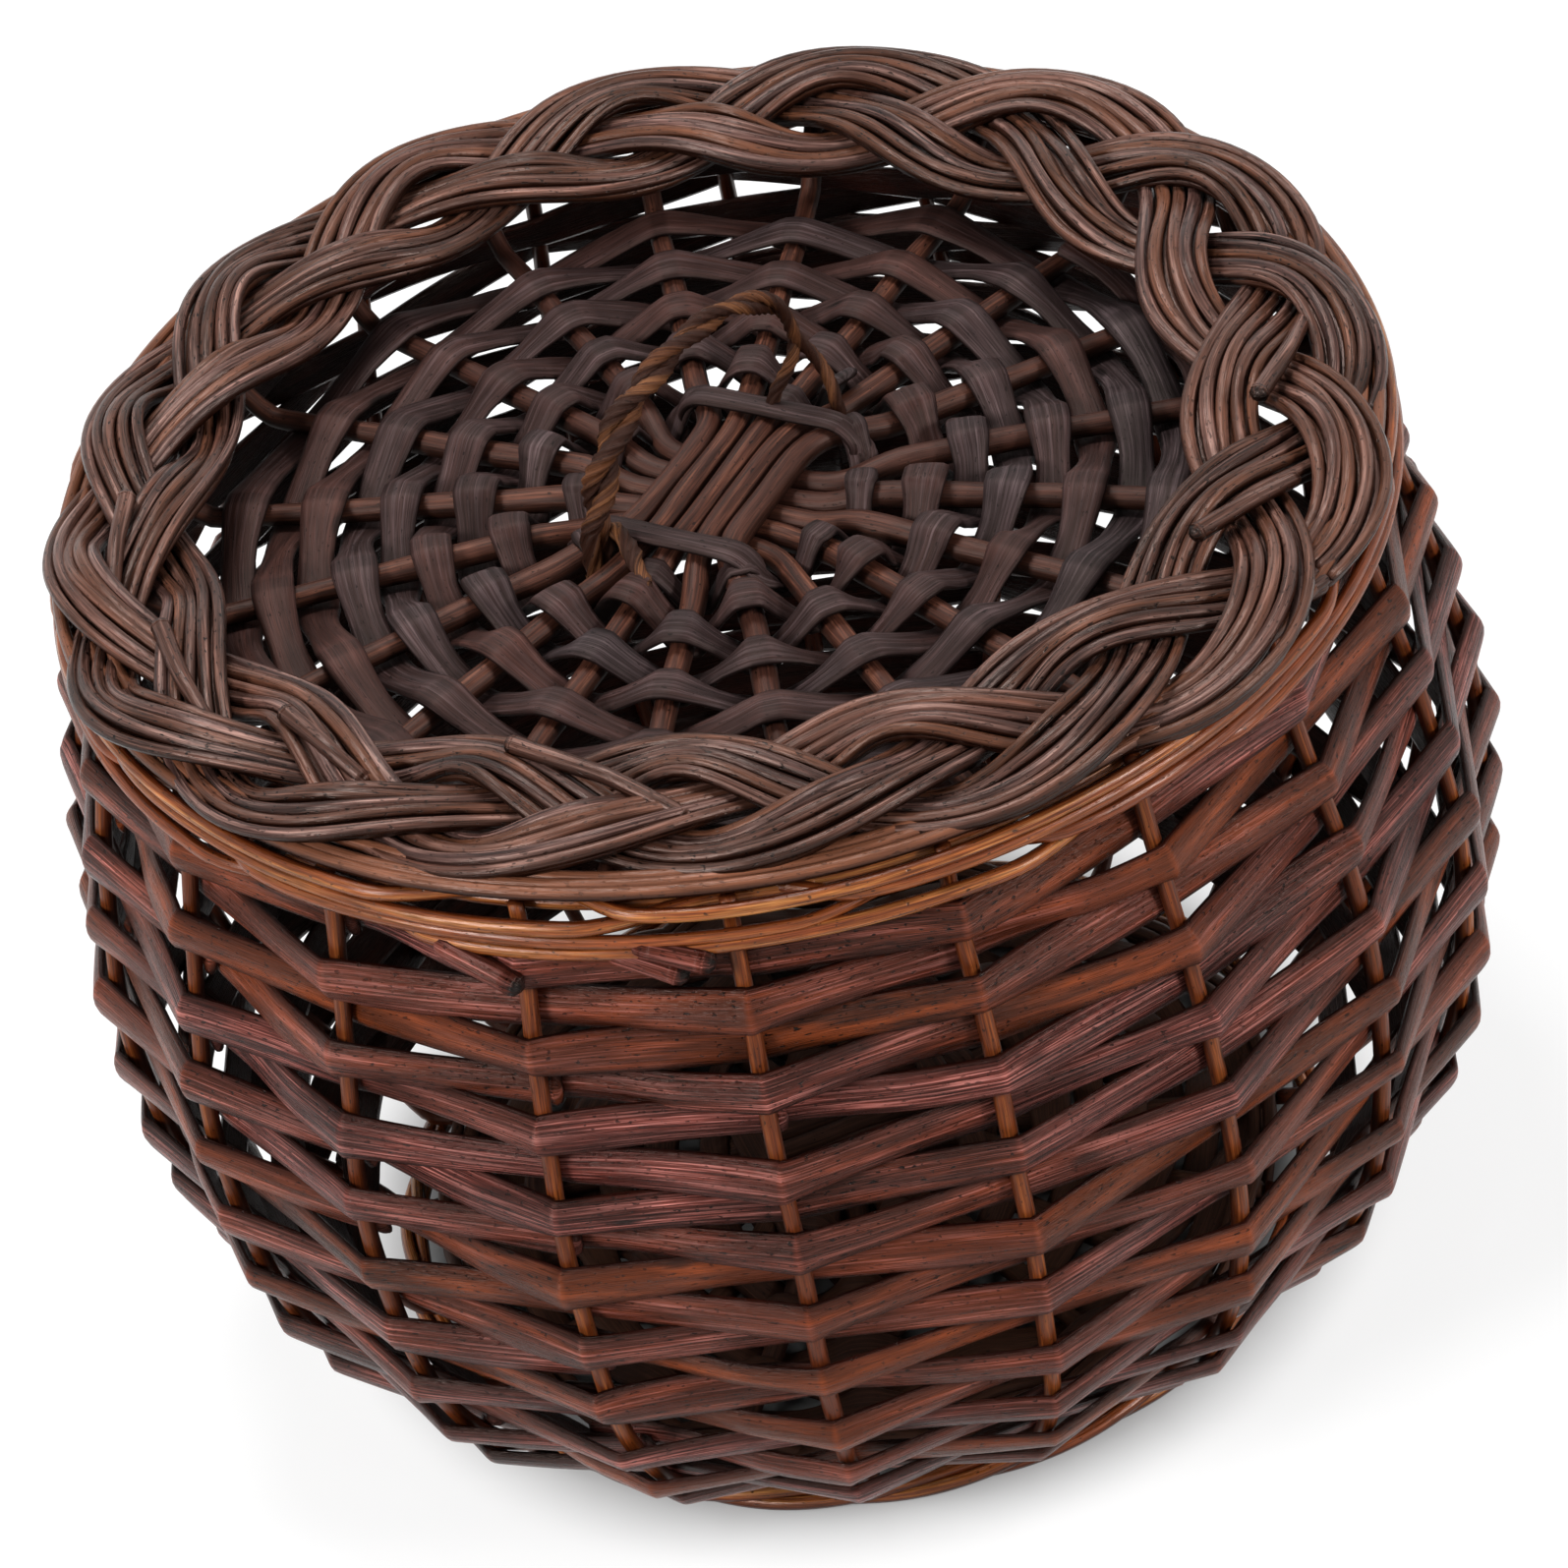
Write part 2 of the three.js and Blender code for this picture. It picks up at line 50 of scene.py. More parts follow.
# %% [markdown]
# ## Camera
# The photograph was taken from the front and above with a long lens, and the frame is square. The
# view was worked out from the outline of the basket and its border. A camera can be aimed at a
# target, but this one was also rolled a little, so its place and directions are given as they are.

# %% Camera
PHOTO_PIXELS = 1595
FOCAL_PIXELS = 7346.166
SENSOR_WIDTH = 36.0
CAMERA_PLACE = Vector((0.0008, -1.5926, 1.4669))
CAMERA_RIGHT = Vector((0.97987, -0.12694, -0.15411)).normalized()
CAMERA_UP = Vector((0.19965, 0.62300, 0.75636)).normalized()


def in_scene(name, data):
    """An object for a mesh, a lamp or a camera, linked to the scene."""
    obj = bpy.data.objects.new(name, data)
    bpy.context.scene.collection.objects.link(obj)
    return obj


lens = bpy.data.cameras.new("photo_view")
lens.sensor_fit = "AUTO"
lens.sensor_width = SENSOR_WIDTH
lens.lens = FOCAL_PIXELS / PHOTO_PIXELS * SENSOR_WIDTH
camera = in_scene("photo_view", lens)
directions = Matrix((CAMERA_RIGHT, CAMERA_UP, CAMERA_RIGHT.cross(CAMERA_UP))).transposed()
camera.matrix_world = Matrix.Translation(CAMERA_PLACE) @ directions.to_4x4()
bpy.context.scene.camera = camera
bpy.context.scene.view_settings.view_transform = "Standard"
print("lens in mm:", round(lens.lens, 1))

# %% [markdown]
# ## Measures of the basket
# The script works in millimetres, as a basket maker does, and turns them into metres when a mesh is
# made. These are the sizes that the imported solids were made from. The wall's points are pairs of a
# radius and a height. Woven pieces are pressed together in the real basket. Here they keep a small
# gap, so that no two surfaces share a place.

# %% Measures
MM = 0.001
TURN = 2 * math.pi
UP = (0, 0, 1)
GAP = 0.3
STAKE_COUNT = 20
SPOKE_ANGLE = TURN / STAKE_COUNT
STAKE_RADIUS = 2.6
STAKE_AZIMUTH = math.radians(12)
WALL_POINTS = ((126.3, 10), (136, 10), (146, 22), (172, 48), (191.08, 88), (198.5, 148),
               (193.06, 199.5), (182.5, 251), (181, 264.2), (181, 273))
RIM_HEIGHT = 273.0
print("rim is", RIM_HEIGHT, "mm high, with a stake every", 360 // STAKE_COUNT, "degrees")

# %% [markdown]
# ## The line of the wall
# Every stake follows one outline, from the edge of the base over the belly to the rim. It is a
# smooth curve through ten points. Blender's own curves would do, but the rows of weaving need to
# know where they lie on it, so it is worked out here with a table of its length.

# %% Wall line
CURVE_STEPS = 60
WALL_RISES = 2 * CURVE_STEPS


def through(points, steps=CURVE_STEPS):
    """A smooth curve through points, each stretch cut in steps."""
    points = np.asarray(points, float)
    ends = np.vstack([points[:1], points, points[-1:]])
    pieces = []
    for a, b, c, d in zip(ends, ends[1:], ends[2:], ends[3:]):
        t = np.linspace(0, 1, steps, endpoint=False)[:, None]
        start, stop = (c - a) / 2, (d - b) / 2
        pieces.append((2 * b - 2 * c + start + stop) * t**3
                      + (3 * c - 3 * b - 2 * start - stop) * t**2 + start * t + b)
    return np.vstack([*pieces, points[-1:]])


def reach_of(line):
    """The length of a line up to each of its points."""
    return np.r_[0, np.cumsum(np.linalg.norm(np.diff(line, axis=0), axis=1))]


WALL = through(WALL_POINTS)
WALL_REACH = reach_of(WALL)
WALL_RUN = np.gradient(WALL, WALL_REACH, axis=0)
WALL_RUN /= np.linalg.norm(WALL_RUN, axis=1, keepdims=True)


def polar(radius, azimuth, height):
    radius, azimuth, height = np.broadcast_arrays(radius, azimuth, height)
    return np.stack([radius * np.cos(azimuth), radius * np.sin(azimuth), height], axis=-1)


def on_wall(reach, azimuth, outwards=0.0):
    """Points beside the wall's line at a reach along it, and the directions out of the wall."""
    r, z, run_r, run_z = (np.interp(reach, WALL_REACH, row) for row in (*WALL.T, *WALL_RUN.T))
    place = polar(r + run_z * outwards, azimuth, z - run_r * outwards)
    return place, polar(run_z, azimuth, -run_r)


def reach_at(height):
    """The reach along the wall at which it comes to a height, from where it begins to rise."""
    return float(np.interp(height, WALL[WALL_RISES:, 1], WALL_REACH[WALL_RISES:]))


print("wall is", round(WALL_REACH[-1], 1), "mm along a stake")

# %% [markdown]
# ## Laying a rod along a route
# A willow rod is one outline carried along a bent line. Blender's curves can do it, but a split rod
# also turns with the wall and swells and tapers. So a grid is rolled into the outline, with one
# side along the route and the other round the rod, and its directions become the map that the grain
# follows. An outline is a ring of pairs, outwards and sideways. A split rod's is flat inside.

# %% Outlines
ROUND_SIDES = 8


def whole_turn(parts):
    return np.arange(parts) * TURN / parts


ROUND = np.array([(math.cos(a), math.sin(a)) for a in whole_turn(ROUND_SIDES)])
SPLIT = np.array([(-0.6, -0.8), (-0.66, 0), (-0.6, 0.8), (-0.34, 1), (0.12, 0.93), (0.56, 0.7),
                  (0.88, 0.38), (1, 0), (0.88, -0.38), (0.56, -0.7), (0.12, -0.93), (-0.34, -1)])
print("outlines:", len(ROUND), "corners round,", len(SPLIT), "split")

# %% Rings of a rod
END_RINGS = 2
END_SHARES = (0.4, 0.85)
END_STEP = 0.35


def unit(vectors):
    return vectors / np.linalg.norm(vectors, axis=-1, keepdims=True)


def smooth(value, low, high):
    """A value's share of the way from low to high, with a soft start and a soft end."""
    share = np.clip((value - low) / (high - low), 0, 1)
    return share * share * (3 - 2 * share)


def waver(place, seed, waves=(2, 3, 5, 8)):
    """A slow wandering between about -1 and 1 that closes after a whole turn."""
    phases = np.random.default_rng(seed).uniform(0, TURN, len(waves))
    return sum(np.sin(k * place + p) for k, p in zip(waves, phases)) / len(waves) ** 0.5


def even(radius):
    """Half the thickness and half the width of each ring of a round rod."""
    return np.stack([radius, radius], axis=1)


def blunt(centre, size):
    """A rod's line and sizes with END_RINGS more rings at each end, which round it off."""
    tip, shoulder = END_SHARES
    for _ in range(2):
        step = unit(centre[1] - centre[0]) * min(size[0])
        more = np.array([centre[0], centre[0] + step * END_STEP, centre[0] + step])
        centre = np.vstack([more, centre[1:]])[::-1]
        size = np.vstack([size[0] * tip, size[0] * shoulder, size[0], size[1:]])[::-1]
    return centre, size


def pad_ends(values):
    """Values for each ring, carried on over the rings that blunt adds."""
    return np.pad(values, ((END_RINGS, END_RINGS),) + ((0, 0),) * (values.ndim - 1), "edge")


print("a rod gains", 2 * END_RINGS, "rings where its ends are blunt")

# %% [markdown]
# ## From rods to a mesh
# The rods' parts are common to the whole basket. The seam of each rolled grid is merged and its
# ends are closed. Every point keeps three values that the finishes read: a tone of stain, a mark
# for a crease or a cut end, and how far the point faces out of the weave, which places the painted
# shade on the flanks.

# %% Rods and pieces
MAP_SHIFT = 9.0
MERGE_DISTANCE = 1e-6


def laid(centre, out, size, outline=ROUND, closed=False, tone=0.5, mark=0.0, seed=0):
    """A rod as a mesh. size holds half the thickness and half the width of each ring, in mm."""
    centre = np.asarray(centre, float)
    size = np.broadcast_to(np.asarray(size, float), (len(centre), 2))
    out = np.broadcast_to(np.asarray(out, float), centre.shape)
    rings, corners = len(centre), len(outline)
    spans = rings if closed else rings - 1
    after = np.roll(centre, -1, axis=0)
    before = np.roll(centre, 1, axis=0)
    if not closed:
        after[-1], before[0] = centre[-1], centre[0]
    along = unit(after - before)
    side = unit(np.cross(along, out))
    out = np.cross(side, along)

    grid = bmesh.new()
    bmesh.ops.create_grid(grid, x_segments=corners, y_segments=spans, size=0.5)
    mesh = bpy.data.meshes.new("rod")
    grid.to_mesh(mesh)
    grid.free()
    flat = np.empty(3 * len(mesh.vertices))
    mesh.vertices.foreach_get("co", flat)
    column = np.rint((flat[0::3] + 0.5) * corners).astype(int)
    row = np.rint((flat[1::3] + 0.5) * spans).astype(int)
    c, r = column % corners, row % rings
    reach = size[r] * outline[c]
    place = centre[r] + out[r] * reach[:, :1] + side[r] * reach[:, 1:]
    mesh.vertices.foreach_set("co", (place * MM).ravel())

    loops = np.empty(len(mesh.loops), int)
    mesh.loops.foreach_get("vertex_index", loops)
    length = reach_of(np.vstack([centre, centre[:1]]))
    girth = reach_of(np.vstack([outline, outline[:1]]) * size.mean(axis=0))
    shift = np.random.default_rng(seed).uniform(0, MAP_SHIFT, 2)
    uv = np.stack([length[row] * MM + shift[0], girth[column] * MM + shift[1]], axis=-1)
    mesh.uv_layers.new(name="rod").data.foreach_set("uv", uv[loops].ravel())
    tone, mark = (np.broadcast_to(np.asarray(value, float), rings)[r] for value in (tone, mark))
    # facing is how far a point faces out of the weave; the finishes paint shade where it is low.
    for name, value in (("facing", outline[c, 0]), ("tone", tone), ("mark", mark)):
        mesh.attributes.new(name, "FLOAT", "POINT").data.foreach_set("value", value)
    return mesh


def numbered(stem, number):
    return f"{stem}_{number + 1:02d}"


def piece(node, suffix, rods, finish, body):
    """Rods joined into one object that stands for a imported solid, its node."""
    whole = bmesh.new()
    for rod in rods:
        whole.from_mesh(rod)
        bpy.data.meshes.remove(rod)
    bmesh.ops.remove_doubles(whole, verts=whole.verts, dist=MERGE_DISTANCE)
    open_edges = [edge for edge in whole.edges if edge.is_boundary]
    bmesh.ops.holes_fill(whole, edges=open_edges, sides=0)
    bmesh.ops.recalc_face_normals(whole, faces=whole.faces)
    for face in whole.faces:
        face.smooth = True
    mesh = bpy.data.meshes.new(node + suffix)
    whole.to_mesh(mesh)
    whole.free()
    mesh.materials.append(finish)
    obj = in_scene(mesh.name, mesh)
    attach(obj, body)
    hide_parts(node)


print("values kept at each point: tone, mark and facing")

# %% [markdown]
# ## Stained willow
# All the willow has grain along the rod, dark specks, knots where buds were, and lighter patches
# that stand both for stain rubbed off and for painted sheen. A wave texture would make grain too
# regular, so it is noise that is stretched along the rod's own map. The map is in metres, and a
# stretch says how many features fit in one, first along the rod and then round it. One group gives
# all this as masks, for every kind of willow.

# %% Helpers for nodes


def stain(red, green, blue):
    """A colour as a screen shows it, from 0 to 255, as the renderer wants it."""
    parts = [value / 255 for value in (red, green, blue)]
    return [((v + 0.055) / 1.055) ** 2.4 if v > 0.04 else v / 12.92 for v in parts] + [1.0]


def add(tree, kind, inputs=None, **settings):
    """A node in a tree, with its settings, its values and what is wired into it."""
    node = tree.nodes.new(kind)
    for key, value in settings.items():
        setattr(node, key, value)
    for key, value in (inputs or {}).items():
        if isinstance(value, bpy.types.NodeSocket):
            tree.links.new(value, node.inputs[key])
        else:
            node.inputs[key].default_value = value
    return node


def math_of(tree, operation, a, b=0.0, c=0.0, clamp=False):
    node = add(tree, "ShaderNodeMath", {0: a, 1: b, 2: c}, operation=operation, use_clamp=clamp)
    return node.outputs[0]


def product(tree, vector, stretch):
    return add(tree, "ShaderNodeVectorMath", {0: vector, 1: stretch},
               operation="MULTIPLY").outputs[0]


def noise(tree, vector, detail, roughness, scale=1.0):
    return add(tree, "ShaderNodeTexNoise", {"Vector": vector, "Scale": scale, "Detail": detail,
                                            "Roughness": roughness}).outputs["Fac"]


def between(tree, value, low, high, start=0.0, stop=1.0, **settings):
    """A value's share of the way from low to high, as the same share from start to stop."""
    ends = {"From Min": low, "From Max": high, "To Min": start, "To Max": stop}
    return add(tree, "ShaderNodeMapRange", {"Value": value, **ends}, **settings).outputs[0]


print("screen grey as light:", round(stain(128, 128, 128)[0], 3))

# %% Grain group
FIBRE_SCALE = 3.3
FIBRE_RELIEF = 0.6
FLECK_STRETCH = (380.0, 950.0, 0.0)
FLECK_CONTRAST = 9.0
BUD_STRETCH = (16.0, 50.0, 0.0)
BUD_FRAY = 0.06
BUD_EDGE = (0.12, 0.07)
# Patches that stand for rubbed stain and for painted sheen at once.
WEAR_AND_SHEEN_STRETCH = (28.0, 240.0, 0.0)
WEAR_AND_SHEEN_EDGE = (0.45, 0.68)


GRAIN = bpy.data.node_groups.new("willow_grain", "ShaderNodeTree")
for way, names in (("INPUT", ("Along", "Around", "Specks")),
                   ("OUTPUT", ("Streak", "Fibre", "Speck", "Wear_and_sheen", "Height"))):
    for name in names:
        GRAIN.interface.new_socket(name, in_out=way, socket_type="NodeSocketFloat")
given = add(GRAIN, "NodeGroupInput").outputs
where = add(GRAIN, "ShaderNodeUVMap", uv_map="rod").outputs["UV"]
stretch = add(GRAIN, "ShaderNodeCombineXYZ", {"X": given["Along"], "Y": given["Around"]})
scaled = product(GRAIN, where, stretch.outputs[0])
streak = noise(GRAIN, scaled, 3.0, 0.6)
fibre = noise(GRAIN, scaled, 2.0, 0.7, FIBRE_SCALE)
fleck = noise(GRAIN, product(GRAIN, where, FLECK_STRETCH), 2.0, 0.5)
speck = between(GRAIN, fleck, given["Specks"], 1.0)
speck = math_of(GRAIN, "MULTIPLY", speck, FLECK_CONTRAST, clamp=True)
apart = product(GRAIN, where, BUD_STRETCH)
bud = add(GRAIN, "ShaderNodeTexVoronoi", {"Vector": apart, "Scale": 1.0}).outputs["Distance"]
bud = math_of(GRAIN, "MULTIPLY_ADD", fibre, BUD_FRAY, bud)
speck = math_of(GRAIN, "MAXIMUM", speck, between(GRAIN, bud, *BUD_EDGE))
# The mask of the patches of painted sheen, which also stand for rubbed stain.
worn = between(GRAIN, noise(GRAIN, product(GRAIN, where, WEAR_AND_SHEEN_STRETCH), 1.0, 0.5), *WEAR_AND_SHEEN_EDGE)
height = math_of(GRAIN, "MULTIPLY_ADD", fibre, FIBRE_RELIEF, streak)
height = math_of(GRAIN, "SUBTRACT", height, speck)
add(GRAIN, "NodeGroupOutput", {"Streak": streak, "Fibre": fibre, "Speck": speck, "Wear_and_sheen": worn,
                               "Height": height})
print("grain group:", len(GRAIN.nodes), "nodes")

# %% [markdown]
# ## The finishes
# Bark, split wood and peeled rods took the stain differently, so each kind of willow has a material
# of its own with the grain group in it. Three shades of one stain follow the streaks, and a second
# stain shows on some rods. A third, darker colour on their flanks and undersides is painted shade,
# where rods turn from the light and press on their neighbours. The gloss is tinted like the stain,
# because a white one would lay a grey veil on wood as dark as this.

# %% Willow finish
SHADE_PLACES = (0.36, 0.5, 0.66)
# Painted shade: rings that face into the weave, the flanks and undersides, take the darker side
# colour.
FLANK_SHADE_EDGE = (0.75, -0.1)
FIBRE_CONTRAST = 2.6
FIBRE_LEVEL = 0.5
SPECK_DARKNESS = 0.8
WEAR_AND_SHEEN_SHARE = 0.3
RELIEF_DEPTH = 0.0006
STAIN_SHEEN = (1.0, 0.76, 0.68, 1.0)


def willow(name, deep, middle, light, other, side, rough=(0.4, 0.6), along=22.0, around=900.0,
           specks=0.66, bump=0.3, crease=0.0, sheen=0.25, worn=0.0):
    """A finish: its stains, painted shade on flanks, roughness, specks, creases, gloss, and patches
    of rubbed stain and painted sheen.
    """
    finish = bpy.data.materials.new(name)
    finish.use_nodes = True
    tree = finish.node_tree
    shader = tree.nodes["Principled BSDF"]
    grain = add(tree, "ShaderNodeGroup", {"Along": along, "Around": around, "Specks": specks},
                node_tree=GRAIN)
    read = {kind: add(tree, "ShaderNodeAttribute", attribute_name=kind).outputs["Fac"]
            for kind in ("tone", "mark", "facing")}
    ramp = add(tree, "ShaderNodeValToRGB", {"Fac": grain.outputs["Streak"]})
    low, half, high = SHADE_PLACES
    stops = ramp.color_ramp.elements
    stops[0].position, stops[0].color = low, stain(*deep)
    stops[1].position, stops[1].color = high, stain(*light)
    stops.new(half).color = stain(*middle)
    hue = ramp.outputs[0]
    # The second stain goes by tone; the side colour is painted shade, placed by facing.
    for share, shade in ((read["tone"], other), (between(tree, read["facing"], *FLANK_SHADE_EDGE), side)):
        hue = add(tree, "ShaderNodeMix", {"Factor": share, "A": hue, "B": stain(*shade)},
                  data_type="RGBA").outputs["Result"]
    tint = math_of(tree, "MULTIPLY_ADD", grain.outputs["Fibre"], FIBRE_CONTRAST, -FIBRE_LEVEL)
    # This brightens patches of the wood, as painted highlight and as rubbed stain at once, and
    # darkens the rest a little; with the pale light shade of the siding and the border they read as
    # sheen.
    wear_and_sheen_patch = math_of(tree, "MULTIPLY_ADD", grain.outputs["Wear_and_sheen"], worn, 1.0 - WEAR_AND_SHEEN_SHARE * worn)
    clean = math_of(tree, "MULTIPLY_ADD", grain.outputs["Speck"], -SPECK_DARKNESS, 1.0)
    tint = math_of(tree, "MULTIPLY", math_of(tree, "MULTIPLY", tint, wear_and_sheen_patch), clean)
    tint = math_of(tree, "MULTIPLY_ADD", read["mark"], crease, tint)
    colour = add(tree, "ShaderNodeVectorMath", {0: hue, "Scale": tint}, operation="SCALE")
    gloss = between(tree, grain.outputs["Fibre"], 0.0, 1.0, *rough)
    relief = add(tree, "ShaderNodeBump", {"Height": grain.outputs["Height"], "Strength": bump,
                                          "Distance": RELIEF_DEPTH})
    shader.inputs["Specular IOR Level"].default_value = sheen
    shader.inputs["Specular Tint"].default_value = STAIN_SHEEN
    tree.links.new(colour.outputs[0], shader.inputs["Base Color"])
    tree.links.new(gloss, shader.inputs["Roughness"])
    tree.links.new(relief.outputs[0], shader.inputs["Normal"])
    print(name, "has", len(tree.nodes), "nodes")
    return finish


# %% Kinds of willow
# The fifth colour of each finish is its painted shade on the flanks and undersides.
SIDING_WILLOW = willow("siding_willow", (44, 16, 13), (84, 36, 29), (172, 108, 100), (106, 48, 21),
                       (36, 11, 6), crease=0.5, rough=(0.2, 0.36), along=26.0, around=1500.0,
                       specks=0.63, bump=0.6, sheen=0.18, worn=1.15)
STAKE_WILLOW = willow("stake_willow", (66, 26, 10), (124, 60, 24), (166, 94, 44), (96, 44, 22),
                      (70, 28, 10), around=700.0, rough=(0.3, 0.45))
WALE_WILLOW = willow("wale_willow", (92, 42, 18), (164, 94, 42), (224, 156, 88), (126, 60, 28),
                     (84, 34, 12), around=600.0, rough=(0.2, 0.34), sheen=0.4, worn=0.45)
BASE_WILLOW = willow("base_willow", (38, 20, 16), (64, 38, 29), (90, 58, 45), (72, 42, 26),
                     (44, 22, 14), rough=(0.5, 0.7))
STICK_WILLOW = willow("lid_stick_willow", (40, 19, 13), (76, 42, 31), (116, 72, 55), (62, 36, 29),
                      (38, 18, 11), around=600.0)
STRIP_WILLOW = willow("lid_strip_willow", (26, 20, 20), (46, 37, 38), (80, 68, 69), (66, 40, 34),
                      (22, 13, 12), rough=(0.42, 0.58), crease=0.3, sheen=0.16, worn=0.7)
BORDER_WILLOW = willow("border_willow", (35, 22, 20), (80, 55, 50), (152, 118, 108), (94, 57, 40),
                       (34, 15, 8), around=700.0, crease=0.6, rough=(0.2, 0.38), specks=0.62,
                       bump=0.4, sheen=0.27, worn=0.75)
LOOP_WILLOW = willow("loop_willow", (50, 26, 15), (108, 66, 38), (160, 108, 70), (86, 48, 28),
                     (44, 20, 10), rough=(0.45, 0.65), around=1500.0, bump=0.7)
print("grain stands", RELIEF_DEPTH / MM, "mm high at full strength")

# %% [markdown]
# ## Stakes
# Twenty thin round rods rise from the ends of the base's sticks. Straight cylinders would be easy,
# but real rods are never quite straight nor quite even, so each wanders a little and tapers towards
# the rim. It ends just short of the rim, under the border.

# %% Stakes
STAKE_RINGS = 76
STAKE_SHORT = 2.5
STAKE_SWAY = 0.0022
STAKE_BEND = 0.25
STAKE_TAPER = 0.08
STAKE_UNEVEN = 0.05


def stake(number):
    reach = np.linspace(0, WALL_REACH[-1] - STAKE_SHORT, STAKE_RINGS)
    turn = reach / WALL_REACH[-1] * math.pi
    azimuth = STAKE_AZIMUTH + SPOKE_ANGLE * number + STAKE_SWAY * waver(turn, number)
    centre, out = on_wall(reach, azimuth, STAKE_BEND * waver(turn, number + 50))
    radius = STAKE_RADIUS * (1 - STAKE_TAPER * reach / WALL_REACH[-1]
                             + STAKE_UNEVEN * waver(turn, number + 90))
    return laid(centre, out, even(radius), seed=number,
                tone=0.5 + 0.4 * waver(turn, number + 20, (1, 2)))


for number in range(STAKE_COUNT):
    piece(numbered("stake", number), "_rod", [stake(number)], STAKE_WILLOW, "basket")
print("stakes:", STAKE_COUNT)

# %% [markdown]
# ## Siding
# The wall is woven from split willow. Each row passes in front of one stake and behind the next,
# and the row above does the opposite. A sine wave would bend it like rope, but a split rod is
# stiff. So it runs straight between the stakes and creases where it bends over one. Two rods whose
# ends overlap make a row. Every bay has its own rise and bow, because a machine makes equal rows.

# %% Plan of the siding
ROW_COUNT = 20
ROW_THICKNESS = 3.4
ROW_PLAY = 0.6
SIDING_FROM = reach_at(18.0)
SIDING_TO = reach_at(255.9)
ROW_PITCH = (SIDING_TO - SIDING_FROM) / ROW_COUNT
SWAYS = ((1.3, 3, 0, 4), (0.8, 7, 2, -5))
BUTT_RADIUS = 3.6
BUTT_DARKNESS = -1.6
BUTT_ENDS = (((-46, -180, 261), (-25.5, -187.5, 255.5)), ((-53, -177, 259), (-33, -185.5, 251.5)),
             ((-96, -160, 258), (-76, -176, 250.5)))
BAY = np.array([0, 0.016, 0.05, 0.12, 0.22, 0.34, 0.46, 0.58, 0.7, 0.8, 0.88, 0.95, 0.984])


def weave_offset(rod, thickness, bay):
    """How far a strip's middle stands from the middle of the rod that it passes."""
    offset = thickness / 2 + rod + GAP
    for _ in range(6):
        offset = (thickness / 2 + rod + GAP) / np.cos(np.arctan(2 * offset / bay))
    return offset


def sway(azimuth, reach):
    """How far the rows rise and fall together, because no weaver keeps them quite level."""
    share = (reach - SIDING_FROM) / (SIDING_TO - SIDING_FROM)
    rise = sum(size * np.sin(waves * azimuth + start + climb * share)
               for size, waves, start, climb in SWAYS)
    return rise * np.sin(np.clip(share, 0, 1) * math.pi)


print("siding rows:", ROW_COUNT, "pitch", round(ROW_PITCH, 2), "mm")

# %% Rows of the siding
ROW_CLEAR = 0.1
ROW_SHIFT = 0.006
ROW_LIFT = 1.6
ROW_BOW = 1.2
ROW_ROLL = 0.16
ROW_FULLNESS = 1.01
ROW_FULLER_AT_STAKES = 0.1
ROW_DEPTH = 1.42
END_BEFORE = 5
END_AFTER = 2
TUCK_FROM = 8
TUCK_RINGS = 5


